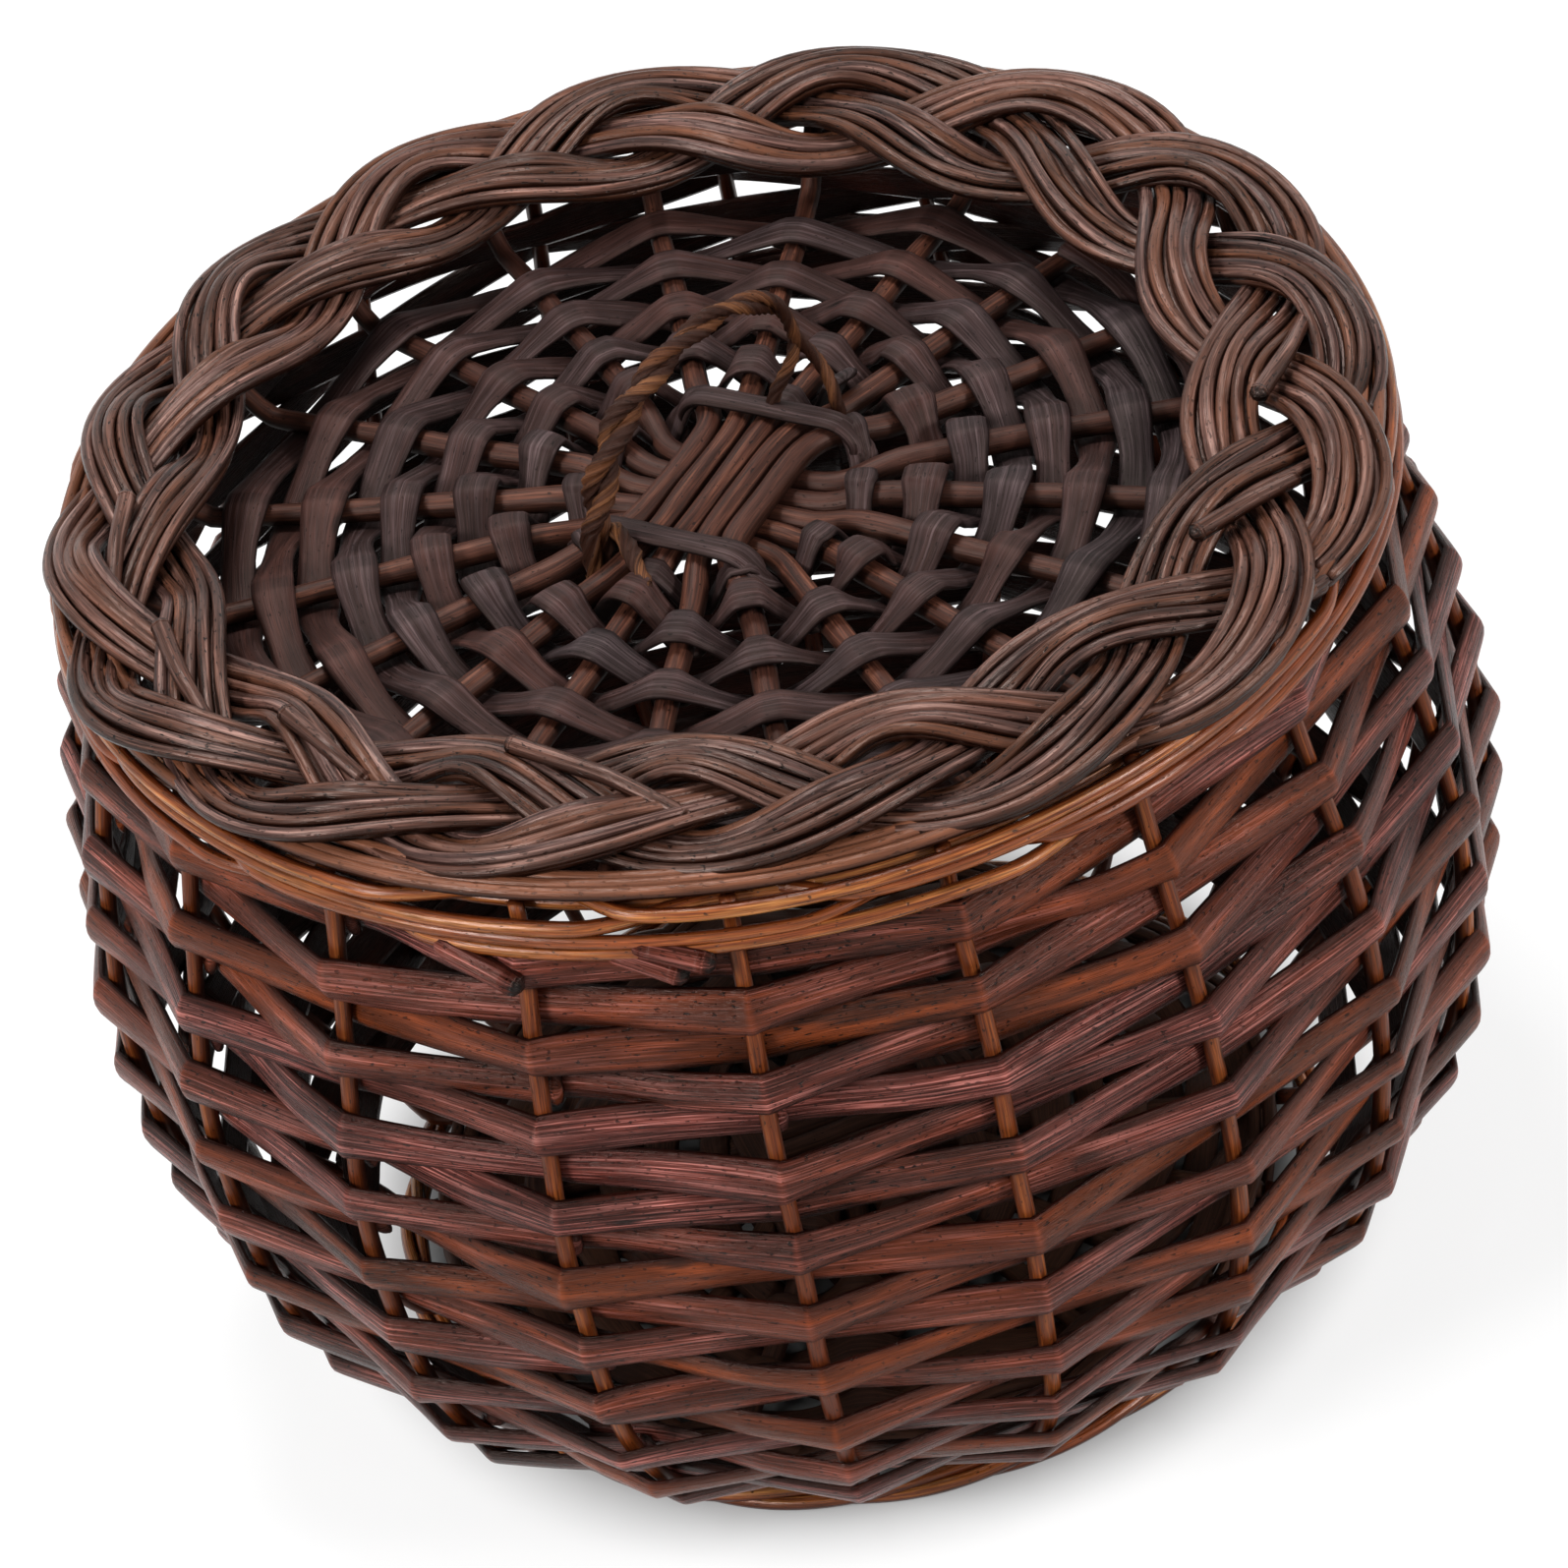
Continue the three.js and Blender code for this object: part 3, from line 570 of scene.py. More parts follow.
def siding_row(number):
    rng = np.random.default_rng(300 + number)
    reach = SIDING_FROM + (number + 0.5) * ROW_PITCH
    bay = SPOKE_ANGLE * np.interp(reach, WALL_REACH, WALL[:, 0])
    offset = weave_offset(STAKE_RADIUS, ROW_THICKNESS, bay) + ROW_CLEAR
    stakes = np.arange(STAKE_COUNT + 1)
    outside = (stakes + number) % 2 == 0
    azimuth = STAKE_AZIMUTH + SPOKE_ANGLE * stakes
    shift, lift = (np.resize(rng.uniform(-most, most, STAKE_COUNT), len(stakes))
                   for most in (ROW_SHIFT, ROW_LIFT))
    anchors, normals = on_wall(reach + lift + sway(azimuth, reach), azimuth + shift,
                               np.where(outside, offset, -offset))
    share = BAY[None, :, None]
    bow = rng.uniform(-ROW_BOW, ROW_BOW, STAKE_COUNT)[:, None] * np.sin(BAY * math.pi)
    centre, out = ((ends[:-1, None] * (1 - share) + ends[1:, None] * share).reshape(-1, 3)
                   for ends in (anchors, normals))
    centre[:, 2] += bow.ravel()
    turn = whole_turn(len(centre))
    nearness = np.abs(np.cos(turn * STAKE_COUNT / 2 + number * math.pi / 2))
    fullness = (ROW_FULLNESS + 0.09 * waver(turn, 400 + number, (3, 5, 8, 13))
                + ROW_FULLER_AT_STAKES * nearness**2)
    width = (ROW_PITCH - ROW_PLAY) / 2 * fullness
    thickness = ROW_THICKNESS / 2 * (ROW_DEPTH + 0.1 * waver(turn, 430 + number))
    roll = ROW_ROLL * waver(turn, 460 + number, (4, 7, 11, 16))
    out = unit(out) + polar(0, turn, 1.0) * roll[:, None]
    crease = np.where(BAY == 0, 1.0, 0.0)
    mark = (crease[None] * outside[:-1, None]).ravel() + 0.35 * waver(turn, 490 + number, (2, 5, 7))

    joints = sorted(rng.choice(np.flatnonzero(~outside[:-1]), 2, replace=False))
    per, count = len(BAY), len(centre)
    rods = []
    for part in range(2):
        first, last = joints[part] * per - END_BEFORE, joints[1 - part] * per + END_AFTER
        if last < first:
            last += count
        ring = np.arange(first, last + 1)
        at = ring % count
        inwards = (ROW_THICKNESS + GAP) * (1 - smooth(ring - first - TUCK_FROM, 0, TUCK_RINGS))
        line = centre[at] - unit(out[at]) * inwards[:, None]
        line, size = blunt(line, np.stack([thickness[at], width[at]], axis=1))
        shade = np.clip(rng.uniform(0, 1) + 0.35 * waver(turn, 480 + number, (3, 5, 9)), 0, 1)
        rods.append(laid(line, pad_ends(out[at]), size, SPLIT, tone=pad_ends(shade[at]),
                         mark=np.pad(mark[at], END_RINGS), seed=500 + 2 * number + part))
    return rods


def butt_end(number):
    """A thick end of a willow that comes out from under the wale and was cut there."""
    start, stop = np.array(BUTT_ENDS[number], float)
    line = start + (stop - start) * np.linspace(0, 1, 9)[:, None]
    line, size = blunt(line, even(BUTT_RADIUS * np.linspace(0.85, 1, len(line))))
    mark = np.where(np.arange(len(line)) >= len(line) - END_RINGS, BUTT_DARKNESS, 0.5)
    return laid(line, unit(start * (1, 1, 0)), size, tone=0.2, mark=mark, seed=590 + number)


for number in range(ROW_COUNT):
    rods = siding_row(number)
    if number == ROW_COUNT - 1:
        rods += [butt_end(k) for k in range(len(BUTT_ENDS))]
    piece(numbered("siding_row", number), "_split", rods, SIDING_WILLOW, "basket")
print("cut ends on the uppermost row:", len(BUTT_ENDS))

# %% [markdown]
# ## Top wale
# Under the border four thin peeled rods run round the stakes, each in front of three stakes and
# behind the fourth. One closed ring for each would be shorter to write, but a real rod ends behind
# its stake, and the next one begins there. The two upper rows also have a rod on the inside, which
# closes the gap that the border would leave.

# %% Top wale
WALE_ROD_COUNT = 4
WALE_ROD_RADIUS = 2.1
WALE_SPAN = 4
WALE_BAY = 14
WALE_END = 0.42
WALE_OUT = (0.1, 0.6)
WALE_IN = (0.05, 0.75)
WALE_TUCK = (0.2, 0.9)
WALE_SINK = 0.5
WALE_INNER_RADIUS = 1.8
WALE_INNER_ROWS = 2
RING_STEPS = 240


def wale_rods(number):
    rng = np.random.default_rng(700 + number)
    height = RIM_HEIGHT - 2 * WALE_ROD_RADIUS * (WALE_ROD_COUNT - number - 0.5)
    reach = reach_at(height)
    bay = SPOKE_ANGLE * np.interp(reach, WALL_REACH, WALL[:, 0])
    offset = weave_offset(STAKE_RADIUS, 2 * WALE_ROD_RADIUS, bay)
    rods = []
    for k in range(-number % WALE_SPAN, STAKE_COUNT, WALE_SPAN):
        bays = np.linspace(-WALE_END, WALE_SPAN + WALE_END, (WALE_SPAN + 1) * WALE_BAY)
        azimuth = STAKE_AZIMUTH + SPOKE_ANGLE * (k + bays)
        out_share = smooth(bays, *WALE_OUT) * smooth(WALE_SPAN - bays, *WALE_IN)
        tuck = WALE_ROD_RADIUS * (1 - smooth(bays, *WALE_TUCK))
        rise = (0.35 * waver(azimuth, 720 + number)
                - WALE_SINK * smooth(bays, WALE_SPAN - 1, WALE_SPAN))
        centre, out = on_wall(reach + rise, azimuth, offset * (2 * out_share - 1) - tuck)
        radius = WALE_ROD_RADIUS * (1.0 + 0.07 * waver(azimuth, 740 + k) - 0.05 * bays / WALE_SPAN)
        line, size = blunt(centre, even(radius))
        rods.append(laid(line, pad_ends(out), size, tone=rng.uniform(0, 1),
                         seed=760 + 5 * number + k))
    if number >= WALE_ROD_COUNT - WALE_INNER_ROWS:
        azimuth = whole_turn(RING_STEPS)
        centre, out = on_wall(reach, azimuth, -offset)
        rods.append(laid(centre, out, WALE_INNER_RADIUS, closed=True, seed=790 + number))
    return rods


for number in range(WALE_ROD_COUNT):
    piece(numbered("top_wale_rod", number), "_willow", wale_rods(number), WALE_WILLOW,
          "basket")
print("top wale rods:", WALE_ROD_COUNT)

# %% [markdown]
# ## Foot wale
# The basket stands on a ring of three rods that twist round one another under the bend of the
# stakes. A Screw modifier makes a straight twist. Round a ring it is simpler to give each rod its
# own helix, which closes after a whole turn of the foot.

# %% Foot wale
FOOT_RODS = 3
FOOT_TWISTS = 7
FOOT_RADIUS = 135.2
FOOT_MIDDLE = 3.75
FOOT_ROD_RADIUS = 2.1
FOOT_TWIST_OUT = 2.4
FOOT_TWIST_UP = 1.55
FOOT_RINGS = 300


def foot_rod(number):
    azimuth = whole_turn(FOOT_RINGS)
    twist = FOOT_TWISTS * azimuth + number * TURN / FOOT_RODS
    centre = polar(FOOT_RADIUS + FOOT_TWIST_OUT * np.cos(twist), azimuth,
                   FOOT_MIDDLE + FOOT_TWIST_UP * np.sin(twist))
    radius = FOOT_ROD_RADIUS * (0.96 + 0.04 * waver(azimuth, 800 + number))
    return laid(centre, UP, even(radius), closed=True, seed=820 + number,
                tone=0.5 + 0.4 * waver(azimuth, 810 + number))


piece("foot_wale", "_twist", [foot_rod(n) for n in range(FOOT_RODS)], WALE_WILLOW, "basket")
print("foot wale rods:", FOOT_RODS)

# %% [markdown]
# ## The two woven discs
# The base and the lid start alike: five thick sticks over five others, a strip tied round the
# cross, and two split strips that chase each other outwards, over one spoke and under the next.
# Copied code would let the two drift apart, so one set of functions makes both from a few values.
# In the photograph the lid's cross lies one spoke further round than in the solids, and so here.

# %% Measures of the discs
PACK_STICKS = 5
STICK_RADIUS = 3.8
SPOKE_RADIUS = 3.0
STICK_PITCH = 7.45
STICK_LIFT = 3.44
PACK_LENGTH = 27.0
FAN_RADIUS = 50.0
FAN_START = 44.6
TIE_DISTANCE = 30.0
TIE_WIDTH = 8.6
TIE_HALF = PACK_STICKS * STICK_RADIUS + TIE_WIDTH / 2
TIE_PLAY = 0.2
STRIP_WIDTH = 10.8
STRIP_THICKNESS = 3.2
STRIP_PER_TURN = 22.6
BASE_END = 126.0
BASE_HEIGHT = 10
BASE_CROWN = 6
LID_AZIMUTH = math.radians(37)
LID_MIDDLE = 260.5
LID_DIP = 256.0
LID_DIP_RADIUS = 146.0
LID_END = 172.0
LID_SHELF = 269.6
LID_SHELF_RADIUS = LID_END - 5


def base_height(radius):
    return BASE_HEIGHT + BASE_CROWN * (1 - np.minimum(radius / BASE_END, 1) ** 2) ** 2


def lid_height(radius):
    inner = np.interp(radius, [FAN_START, LID_DIP_RADIUS], [LID_MIDDLE, LID_DIP])
    return inner + (LID_SHELF - inner) * smooth(radius, LID_DIP_RADIUS, LID_SHELF_RADIUS)


BASE = SimpleNamespace(
    name="base", body="basket", azimuth=STAKE_AZIMUTH, cross=STAKE_AZIMUTH, end=BASE_END,
    height=base_height, steps=60, edges=(119.8, 124.2), seed=1000,
    sticks=BASE_WILLOW, strips=BASE_WILLOW, slots=("base_willow", "base_willow"))
LID = SimpleNamespace(
    name="lid", body="lid", azimuth=LID_AZIMUTH, cross=LID_AZIMUTH + SPOKE_ANGLE, end=LID_END,
    height=lid_height, steps=80, edges=(), seed=2000,
    sticks=STICK_WILLOW, strips=STRIP_WILLOW, slots=("lid_stick_willow", "lid_strip_willow"))
print("base crown is", base_height(0) - BASE_HEIGHT, "mm, lid dips", LID_MIDDLE - LID_DIP, "mm")

# %% Sticks of a disc
STICK_STEP = 4.0
STICK_BEND = 0.35


def flow(points, step, rounds=6, closed=False):
    """A line cut in even steps, with its corners rounded by taking means again and again."""
    points = np.asarray(points, float)
    if closed:
        points = np.vstack([points, points[:1]])
    reach = reach_of(points)
    at = np.linspace(0, reach[-1], max(4, round(reach[-1] / step)) + 1)
    line = np.stack([np.interp(at, reach, points[:, k]) for k in range(3)], axis=1)
    line = line[:-1] if closed else line
    for _ in range(rounds):
        mean = (np.roll(line, 1, axis=0) + np.roll(line, -1, axis=0) + 2 * line) / 4
        if not closed:
            mean[0], mean[-1] = line[0], line[-1]
        line = mean
    return line


def turned(points, azimuth):
    c, s = math.cos(azimuth), math.sin(azimuth)
    return points @ np.array([[c, s, 0], [-s, c, 0], [0, 0, 1]])


def disc_stick(disc, level, place):
    seed = disc.seed + 10 * (place + 3) + level
    half = np.array([(PACK_LENGTH, place * STICK_PITCH, 0),
                     *polar(np.array([FAN_START, disc.end]), place * SPOKE_ANGLE, 0.0)])
    line = flow(np.vstack([half[::-1] * (-1, 1, 1), half]), STICK_STEP)
    radius = np.hypot(line[:, 0], line[:, 1])
    turn = np.linspace(0, math.pi, len(line))
    lift = level * STICK_LIFT * (1 - smooth(np.abs(line[:, 0]), PACK_LENGTH, FAN_START))
    line[:, 2] = disc.height(radius) + lift
    line[1:-1, 1] += STICK_BEND * waver(turn, seed, (6, 9, 13))[1:-1]
    thick = STICK_RADIUS + (SPOKE_RADIUS - STICK_RADIUS) * smooth(radius, FAN_RADIUS, disc.end)
    thick = thick * (0.98 + 0.04 * waver(turn, seed + 1, (5, 9, 14, 22)))
    line, size = blunt(line, even(thick))
    line = turned(line, disc.cross + (0 if level > 0 else TURN / 4))
    return laid(line, UP, size, seed=seed, tone=0.5 + 0.4 * math.sin(7.0 * seed))


def disc_cross(disc, level):
    node = disc.name + ("_cross_upper" if level > 0 else "_cross_lower")
    places = range(-(PACK_STICKS // 2), PACK_STICKS // 2 + 1)
    piece(node, "_sticks", [disc_stick(disc, level, place) for place in places], disc.sticks,
          disc.body)


print("two crosses of", 2 * PACK_STICKS, "sticks, with ends every", 360 // STAKE_COUNT, "degrees")

# %% [markdown]
# ## Ties and strips
# A strip is flat where a rod is round. Over a spoke it folds, and its rings lie close together
# there, so that the fold is sharp without a fine mesh all along. A narrow strip goes first, where
# the sticks begin to fan out, and the base also has thin rods round its edge.

# %% Rounds that close on themselves
STRIP_BAY = 10
STRIP_THIN = 0.8
EDGE_ROD_RADIUS = 2.0
FIRST_RADIUS = 40.0
FIRST_WIDTH = 8.6
FLAT = np.array([(-0.7, -0.85), (-0.8, 0), (-0.7, 0.85), (-0.3, 1), (0.3, 0.97), (0.78, 0.74),
                 (0.95, 0.35), (1, 0), (0.95, -0.35), (0.78, -0.74), (0.3, -0.97), (-0.3, -1)])


def strip_size(width):
    thickness = np.full(len(width), STRIP_THICKNESS / 2 * STRIP_THIN)
    return np.stack([thickness, width], axis=1)


def disc_tie(disc):
    lift = 2 * STICK_LIFT + STRIP_THICKNESS / 2 + TIE_PLAY
    over = disc.height(TIE_DISTANCE) + lift
    under = disc.height(TIE_HALF) - lift
    stops = []
    for arm in range(4):
        height = under if arm % 2 else over
        places = ((-TIE_HALF, height), (0, height), (TIE_HALF, height),
                  (TIE_DISTANCE, (over + under) / 2))
        stops.append(turned(np.array([(TIE_DISTANCE, *place) for place in places]),
                            arm * TURN / 4))
    line = turned(flow(np.vstack(stops), 2.0, 5, closed=True), disc.cross)
    turn = whole_turn(len(line))
    width = TIE_WIDTH / 2 * (0.97 + 0.08 * waver(turn, disc.seed + 5))
    rod = laid(line, UP, strip_size(width), FLAT, closed=True, tone=0.3, seed=disc.seed + 6)
    piece(disc.name + "_tie", "_strip", [rod], disc.strips, disc.body)


def edge_rod(disc, number, radius):
    """A thin rod that closes a disc's weave, over one spoke and under the next."""
    turn = whole_turn(STAKE_COUNT * STRIP_BAY)
    over = np.cos(turn * STAKE_COUNT / 2 + number * math.pi)
    offset = SPOKE_RADIUS + EDGE_ROD_RADIUS + GAP
    centre = polar(radius + 0.4 * waver(turn, disc.seed + 60 + number), disc.azimuth + turn,
                   disc.height(radius) + offset * over)
    return laid(centre, UP, EDGE_ROD_RADIUS, closed=True, tone=0.6,
                seed=disc.seed + 62 + number)


def first_round(disc):
    """A narrow strip round the cross, where the sticks begin to fan out."""
    turn = whole_turn(STAKE_COUNT * STRIP_BAY)
    over = -np.cos(turn * STAKE_COUNT / 2)
    offset = STICK_RADIUS + STRIP_THICKNESS / 2 + GAP
    centre = polar(FIRST_RADIUS + 0.6 * waver(turn, disc.seed + 70), disc.azimuth + turn,
                   disc.height(FIRST_RADIUS) + offset * np.clip(1.25 * over, -1, 1))
    width = FIRST_WIDTH / 2 * (0.85 + 0.25 * over**2)
    return laid(centre, UP, strip_size(width), FLAT, closed=True, tone=0.25, seed=disc.seed + 71)


print("a closed round has", STAKE_COUNT * STRIP_BAY, "rings")

# %% Weavers
FOLDS = np.array([0, 0.5, 0.88, 1.08, 1.35, 1.7, 2])
FOLD_REACH = 0.85
FOLD_CREASE = 0.98
CREASE_WIDTH = 0.15
STRIP_WAVE = 0.06
STRIP_JITTER = 0.8
STRIP_WANDER = 0.5
STRIP_TILT = 0.3
STRIP_GIRTHS = (0.92, 1.08)


def fold_line(disc):
    """Where a strip's rings lie, counted in spokes: close together where it folds over a spoke."""
    steps = disc.steps
    spot = np.r_[np.tile(np.r_[FOLDS, FOLDS[-2:0:-1]], steps), 0]
    late = np.r_[np.tile(np.arange(2 * len(FOLDS) - 2) >= len(FOLDS), steps), False]
    spoke = np.r_[np.repeat(np.arange(steps), 2 * len(FOLDS) - 2), steps] + late
    radius = FAN_RADIUS + STRIP_PER_TURN * spoke / STAKE_COUNT
    fold = FOLD_REACH * STICK_RADIUS / (SPOKE_ANGLE * radius)
    off = np.where(spot <= 1, fold * spot, fold + (0.5 - fold) * (spot - 1))
    return spoke, spot, spoke + np.where(late, -off, off)


def disc_weaver(disc, number):
    rng = np.random.default_rng(disc.seed + 30 + number)
    spokes = disc.steps + 1
    spoke, spot, n = fold_line(disc)

    def per_spoke(low, high):
        return np.interp(n, np.arange(spokes), rng.uniform(low, high, spokes))

    side = np.where((spoke + number) % 2 == 0, 1.0, -1.0)
    radius = FAN_RADIUS + STRIP_PER_TURN * n / STAKE_COUNT
    thick = STICK_RADIUS + (SPOKE_RADIUS - STICK_RADIUS) * smooth(radius, FAN_RADIUS, disc.end)
    offset = weave_offset(thick, STRIP_THICKNESS, SPOKE_ANGLE * radius)
    wave = np.where(spot <= 1, 1 - STRIP_WAVE * spot * spot, (1 - STRIP_WAVE) * (2 - spot))
    jitter = per_spoke(-STRIP_JITTER, STRIP_JITTER)
    wander = per_spoke(-STRIP_WANDER, STRIP_WANDER)
    azimuth = disc.azimuth + number * TURN / 2 + SPOKE_ANGLE * n
    centre = polar(radius + jitter, azimuth,
                   disc.height(radius) + side * offset * wave + 0.4 * wander)
    crown = 1 - smooth(spot, 0.8, 2)
    width = STRIP_WIDTH / 2 * per_spoke(*STRIP_GIRTHS) * (0.92 + 0.24 * crown)
    half = STRIP_THICKNESS / 2 * (0.75 + 0.2 * crown)
    middle = np.arange(spokes - 1) + 0.5
    tilt = STRIP_TILT * np.interp(n, middle, rng.uniform(-1, 1, spokes - 1))
    tilt = tilt * smooth(spot, 0.9, 1.7)
    out = polar(tilt, azimuth, 1.0)
    thirds = np.arange(0, spokes, 3)
    tone = np.interp(n, thirds, rng.uniform(-0.1, 0.9, len(thirds)))
    mark = np.where(np.abs(spot - FOLD_CREASE) < CREASE_WIDTH, 1.0, 0.0) * (side > 0)
    line, size = blunt(centre, np.stack([half, width], axis=1))
    rod = laid(line, pad_ends(out), size, FLAT, tone=pad_ends(np.clip(tone, 0, 1)),
               mark=np.pad(mark, END_RINGS), seed=disc.seed + 40 + number)
    rods = [rod] + [edge_rod(disc, number, edge) for edge in disc.edges]
    if number == 0:
        rods.append(first_round(disc))
    piece(numbered(disc.name + "_weaver", number), "_strip", rods, disc.strips, disc.body)


for disc in (BASE, LID):
    disc_cross(disc, 1)
    disc_cross(disc, -1)
    disc_tie(disc)
    for number in range(2):
        disc_weaver(disc, number)
    print(disc.name, "disc:", disc.steps // STAKE_COUNT, "rounds of each strip")

# %% [markdown]
# ## The plaited border
# The lid's edge is a flat plait of three strands, and each strand is a band of five thin rods. An
# array of one repeat bent into a ring would look stamped, so a whole strand follows one rule. Seen
# from above it swings out and in while it travels round. Near the outer edge the band that travels
# outwards is on top, near the inner edge the other one. So a band rises and falls twice in a swing,
# and banks three times to slip past its neighbours.

# %% Plan of the plait
CROSSINGS = 16
STRANDS = 3
PLAIT_RADIUS = 159.05
PLAIT_SWING = 18.2
PLAIT_LIFT = 4.7
PLAIT_TILT = 0.15
PLAIT_AZIMUTH = math.radians(13.5)
PLAIT_MIDDLE = 279.9
BORDER_ROD_RADIUS = 2.05
BAND_RODS = 5
ROD_PITCH = 4.1
OUTER_DROP = 0.9
TOP_LAYER = 0.4
LAYER_DROP = 2.9
OUTER_WAVES = ((1, 2.7, -39), (2, 2.9, -37), (3, 4.9, -135), (4, 3.1, 144))
INNER_WAVES = ((1, 5.6, -165), (2, 4.4, -23), (3, 3.2, -122))
WAVE_SHARE = 0.8
PLAIT_INNER = 130.6
PLAIT_OUTER = 187.5


def swell(radius, azimuth):
    """The border is not quite round: its two edges wander in and out by a few millimetres."""
    inner, outer = (sum(size * np.cos(k * azimuth - math.radians(turn)) for k, size, turn in waves)
                    for waves in (INNER_WAVES, OUTER_WAVES))
    share = (radius - PLAIT_INNER) / (PLAIT_OUTER - PLAIT_INNER)
    return radius + WAVE_SHARE * (inner + (outer - inner) * share)


def in_band(phase, side, lift=0.0):
    """Points of a rod that lies to one side, outwards, of its band's middle."""
    radius = PLAIT_RADIUS + PLAIT_SWING * np.sin(phase)
    slope = np.arctan2(PLAIT_SWING * np.cos(phase), radius * STRANDS / CROSSINGS)
    outwards, along = radius + side * np.cos(slope), side * np.sin(slope)
    azimuth = PLAIT_AZIMUTH - phase * STRANDS / CROSSINGS + np.arctan2(along, outwards)
    height = PLAIT_LIFT * np.sin(2 * phase) + PLAIT_TILT * np.cos(3 * phase) * side
    crown = OUTER_DROP * np.clip(np.abs(side) / ROD_PITCH - 1, 0, 1.5)
    radius = swell(np.hypot(outwards, along), azimuth)
    return polar(radius, azimuth, PLAIT_MIDDLE + height - crown + lift)


print("the plait has", CROSSINGS, "crossings at its outer edge")

# %% [markdown]
# ## Rods of the border
# A band has five rods above, and four below that show between them. Each wanders in its band and
# has its own girth and stain. Thin rods under the outer edge close the gap above the wale, and a
# few thick cut ends lie on top, where the maker began a new bundle.

# %% Strands of the border
STRAND_STEPS = 52
STRAND_START = math.radians(135)
STRAND_CUTS = (0, 5, 11, 16)
ROD_WANDER = 0.7
ROD_RISE = 0.45
ROD_GIRTHS = (0.84, 1.08)
RIM_ROD_PLACES = (183.2, 179.2, 175.4)
RIM_ROD_HEIGHT = 275.5
RIM_ROD_RADIUS = 1.9
CUT_ROD_RADIUS = 2.8
CUT_ROD_STEP = 1.5
CUT_TAPER = 0.25
CUT_DARKNESS = -1.2
CUT_RODS = (((161, -165.2, 288), (164.5, -157, 286.5), (167, -150.5, 281)),
            ((154, -144.5, 288), (157, -137, 286.5), (158.6, -132, 281)),
            ((152, -15.5, 288), (160, -7.5, 286.5), (167, 0.2, 281)),
            ((161.8, 173.1, 288), (165.3, 179.9, 286.5), (171, 188, 281)),
            ((139.2, -119.3, 287.5), (149.4, -106.8, 287), (161, -98.7, 281)),
            ((152, -38.3, 288), (160, -31, 286.5), (167, -24.7, 281)))


def border_rod(phase, side, seed, radius, lift=0.0):
    """A rod of the border over a stretch of its strand."""
    turn = phase * STRANDS / CROSSINGS
    side = side + ROD_WANDER * waver(turn, seed, (3, 7, 11, 17))
    line = in_band(phase, side, lift + ROD_RISE * waver(turn, seed + 1, (4, 9, 15, 22)))
    thick = radius * (1 + 0.07 * waver(turn, seed + 2, (2, 5, 9, 16)))
    line, size = blunt(line, even(thick))
    tone = 0.45 + 0.3 * waver(turn, seed + 3, (1, 2, 5)) + 0.3 * math.sin(seed)
    return laid(line, UP, size, tone=pad_ends(np.clip(tone, 0, 1)),
                mark=0.4 * math.sin(1.7 * seed), seed=seed)


def rim_rod(number):
    """A rod under the plait's outer edge."""
    azimuth = whole_turn(RING_STEPS)
    centre = polar(RIM_ROD_PLACES[number] + 0.8 * waver(azimuth, 3600 + number), azimuth,
                   RIM_ROD_HEIGHT + 0.25 * waver(azimuth, 3610 + number))
    return laid(centre, UP, RIM_ROD_RADIUS, closed=True, tone=1.0, mark=1.0, seed=3630 + number)


def cut_rod(number):
    """A thick rod's cut end that lies on top of a band, and goes on between its rods."""
    radius, azimuth, height = np.transpose(CUT_RODS[number])
    line = flow(polar(radius, np.radians(azimuth), height), CUT_ROD_STEP)
    thick = CUT_ROD_RADIUS * (1 - CUT_TAPER * np.linspace(0, 1, len(line)))
    line, size = blunt(line, even(thick))
    mark = np.where(np.arange(len(line)) < END_RINGS, CUT_DARKNESS, 0.0)
    return laid(line, UP, size, tone=0.4, mark=mark, seed=3700 + number)


def border_strand(number):
    first, last = STRAND_CUTS[number], STRAND_CUTS[number + 1]
    rng = np.random.default_rng(3000 + number)
    phase = STRAND_START + TURN * np.linspace(first, last, (last - first) * STRAND_STEPS)
    rods = []
    for layer, count in enumerate((BAND_RODS, BAND_RODS - 1)):
        for lane in range(count):
            side = (lane - (count - 1) / 2) * ROD_PITCH
            radius = BORDER_ROD_RADIUS * rng.uniform(*ROD_GIRTHS)
            rods.append(border_rod(phase, side, 3100 + 90 * number + 40 * layer + 4 * lane, radius,
                                   TOP_LAYER - LAYER_DROP * layer))
    return rods


for number in range(STRANDS):
    rods = border_strand(number) + [rim_rod(number), cut_rod(number), cut_rod(number + STRANDS)]
    piece(numbered("plait_strand", number), "_rods", rods, BORDER_WILLOW, "lid")
print("border strands:", STRANDS, "with", 2 * BAND_RODS - 1, "rods in each")

# %% [markdown]
# ## The loop handle
# Two fibrous rods are twisted into a loop whose legs pass down between the sticks. They were wrung
# before they were bent, so their bark is split into ridges that wind round them. A bump could only
# draw such ridges, so they are in the outline, which turns as it goes along.

# %% Loop handle
LOOP_FEET = polar(41.0, np.radians([208, 46]), 256.6)
LOOP_SHAPE = ((0, 0), (0, 0.2), (0.04, 0.45), (0.18, 0.77), (0.45, 0.97), (0.72, 1), (0.93, 0.84),
              (1.02, 0.5), (1, 0.2), (1, 0))
LOOP_RISE = 54.0
LOOP_HALF_TWISTS = 7
LOOP_PARTING = np.array([(-10.0, -4.0, 0.0), (7.0, -6.0, 0.0)])
LOOP_ROD_RADIUS = 2.5
LOOP_TWIST_FROM = 0.1
LOOP_TWIST_SHARE = 0.8
LOOP_TAPER = 0.33
LOOP_PRESS = 0.92
LOOP_WRINGS = 5
RIDGES = 5
RIDGE_RISE = 0.13
RIDGED_SIDES = 20
